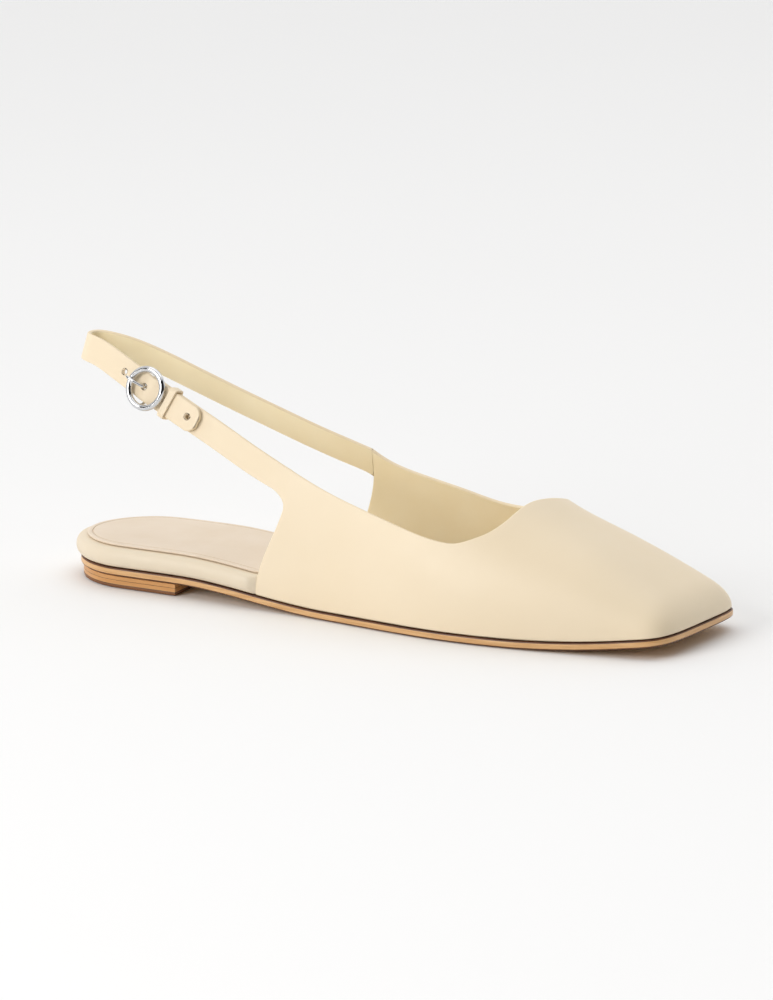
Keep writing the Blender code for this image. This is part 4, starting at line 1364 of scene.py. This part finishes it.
def make_looks():
    """Make the shoe's materials."""
    return {
        "leather": smooth_leather("cream_leather", "F4E3C6", "F1DFC0", 0.46, 0.25),
        "strap": smooth_leather("strap_leather", "F4E3C6", "F0DDBD", 0.46, 0.25),
        "edge": smooth_leather("folded_edge", "EFDDBC", "E9D5B0", 0.5, 0.2),
        "lining": lining_leather("lining_leather", "F6EAC9", "F3E4BE", 0.62),
        "rand": smooth_leather("rand_leather", "E8DAC2", "E4D4BB", 0.5, 0.25),
        "sock": lining_leather("sock_leather", "E9D9C5", "E4D2BB", 0.6),
        # A darker sock colour for the walls of the pressed line's groove, painted shade
        "sock_line": lining_leather("sock_line", "D9C5AA", "D3BEA2", 0.6),
        "sole_edge": edge_leather("sole_edge", "E6B982", "CE9C63", 0.42),
        "heel_edge": edge_leather("heel_edge", "D8A061", "CA9051", 0.45),
        # A dark brown for the heel's joints and the sole's lower corner, also used as painted shade
        # along the sole's upper corner
        "dark_line": edge_leather("dark_line_and_painted_shade", "6E3F1C", "4E2A12", 0.5),
        "top_piece": edge_leather("heel_top_piece", "8C5A30", "6F4422", 0.6),
        "underside": sole_leather("sole_underside", "D9B07C", "C99A62", 0.5),
        "metal": polished_metal("polished_nickel"),
    }


def make_floor():
    """Lay the pale floor under the shoe."""
    mesh = bpy.data.meshes.new("floor")
    signs = ((-1, -1), (1, -1), (1, 1), (-1, 1))
    corners = [Vector((x * FLOOR_REACH, y * FLOOR_REACH, 0.0)) for x, y in signs]
    mesh.from_pydata(corners, [], [[0, 1, 2, 3]])
    mesh.materials.append(painted_floor("pale_floor"))
    floor = new_object("floor", mesh)
    floor.location.z = -FLOOR_DROP


def aim(holder, spot, target):
    """Stand a lamp or a camera at a spot and face it toward a target."""
    direction = Vector(target) - Vector(spot)
    holder.location = spot
    holder.rotation_euler = direction.to_track_quat("-Z", "Y").to_euler()


def make_light(lamp):
    """Add a soft square lamp that faces a point."""
    light = bpy.data.lights.new(lamp.name, "AREA")
    light.shape = "SQUARE"
    light.size = lamp.width
    light.energy = lamp.power
    light.color = lamp.colour
    aim(new_object(lamp.name, light), lamp.spot, lamp.target)


def grey_ramp(nodes, stops):
    """Return a colour ramp with greys at given places."""
    ramp = nodes.new("ShaderNodeValToRGB")
    while len(ramp.color_ramp.elements) < len(stops):
        ramp.color_ramp.elements.new(0.5)
    for element, (where, value) in zip(ramp.color_ramp.elements, stops):
        element.position = where
        element.color = (value, value, value, 1.0)
    return ramp


def make_world():
    """Light the scene from a pale room whose near wall is dark, for the metal to reflect."""
    world = bpy.data.worlds.new("studio")
    bpy.context.scene.world = world
    world.use_nodes = True
    nodes = world.node_tree.nodes
    links = world.node_tree.links
    coords = nodes.new("ShaderNodeTexCoord")
    split = nodes.new("ShaderNodeSeparateXYZ")
    facing = nodes.new("ShaderNodeVectorMath")
    facing.operation = "DOT_PRODUCT"
    facing.inputs[1].default_value = NEAR_WALL
    height = grey_ramp(nodes, WALL_HEIGHT)
    width = grey_ramp(nodes, WALL_WIDTH)
    lighter = nodes.new("ShaderNodeMath")
    lighter.operation = "MAXIMUM"
    links.new(coords.outputs["Generated"], split.inputs["Vector"])
    links.new(coords.outputs["Generated"], facing.inputs[0])
    links.new(split.outputs["Z"], height.inputs["Fac"])
    links.new(facing.outputs["Value"], width.inputs["Fac"])
    links.new(height.outputs["Color"], lighter.inputs[0])
    links.new(width.outputs["Color"], lighter.inputs[1])
    links.new(lighter.outputs["Value"], nodes["Background"].inputs["Color"])
    nodes["Background"].inputs["Strength"].default_value = WORLD_STRENGTH


def make_camera():
    """Set the camera at the photograph's angle."""
    lens = bpy.data.cameras.new("camera")
    lens.sensor_width = 36.0
    lens.lens = FOCAL_SHARE * lens.sensor_width
    lens.clip_start = 0.1
    lens.clip_end = 100.0
    camera = new_object("camera", lens)
    aim(camera, CAMERA_SPOT, CAMERA_TARGET)
    bpy.context.scene.camera = camera


def main():
    """Dress the shoe and set its stage."""
    looks = make_looks()
    make_outsole(looks)
    make_heel(looks)
    make_footbed(looks)
    make_sock(looks)
    ribs = upper_ribs()
    path = StrapPath(ribs)
    make_upper(ribs, path, looks)
    make_heel_strap(path, looks)
    make_ring(path, looks)
    make_prong(path, looks)
    make_keeper(path, looks)
    make_floor()
    for lamp in LAMPS:
        make_light(lamp)
    make_world()
    make_camera()
    bpy.context.scene.view_settings.view_transform = "Standard"


main()
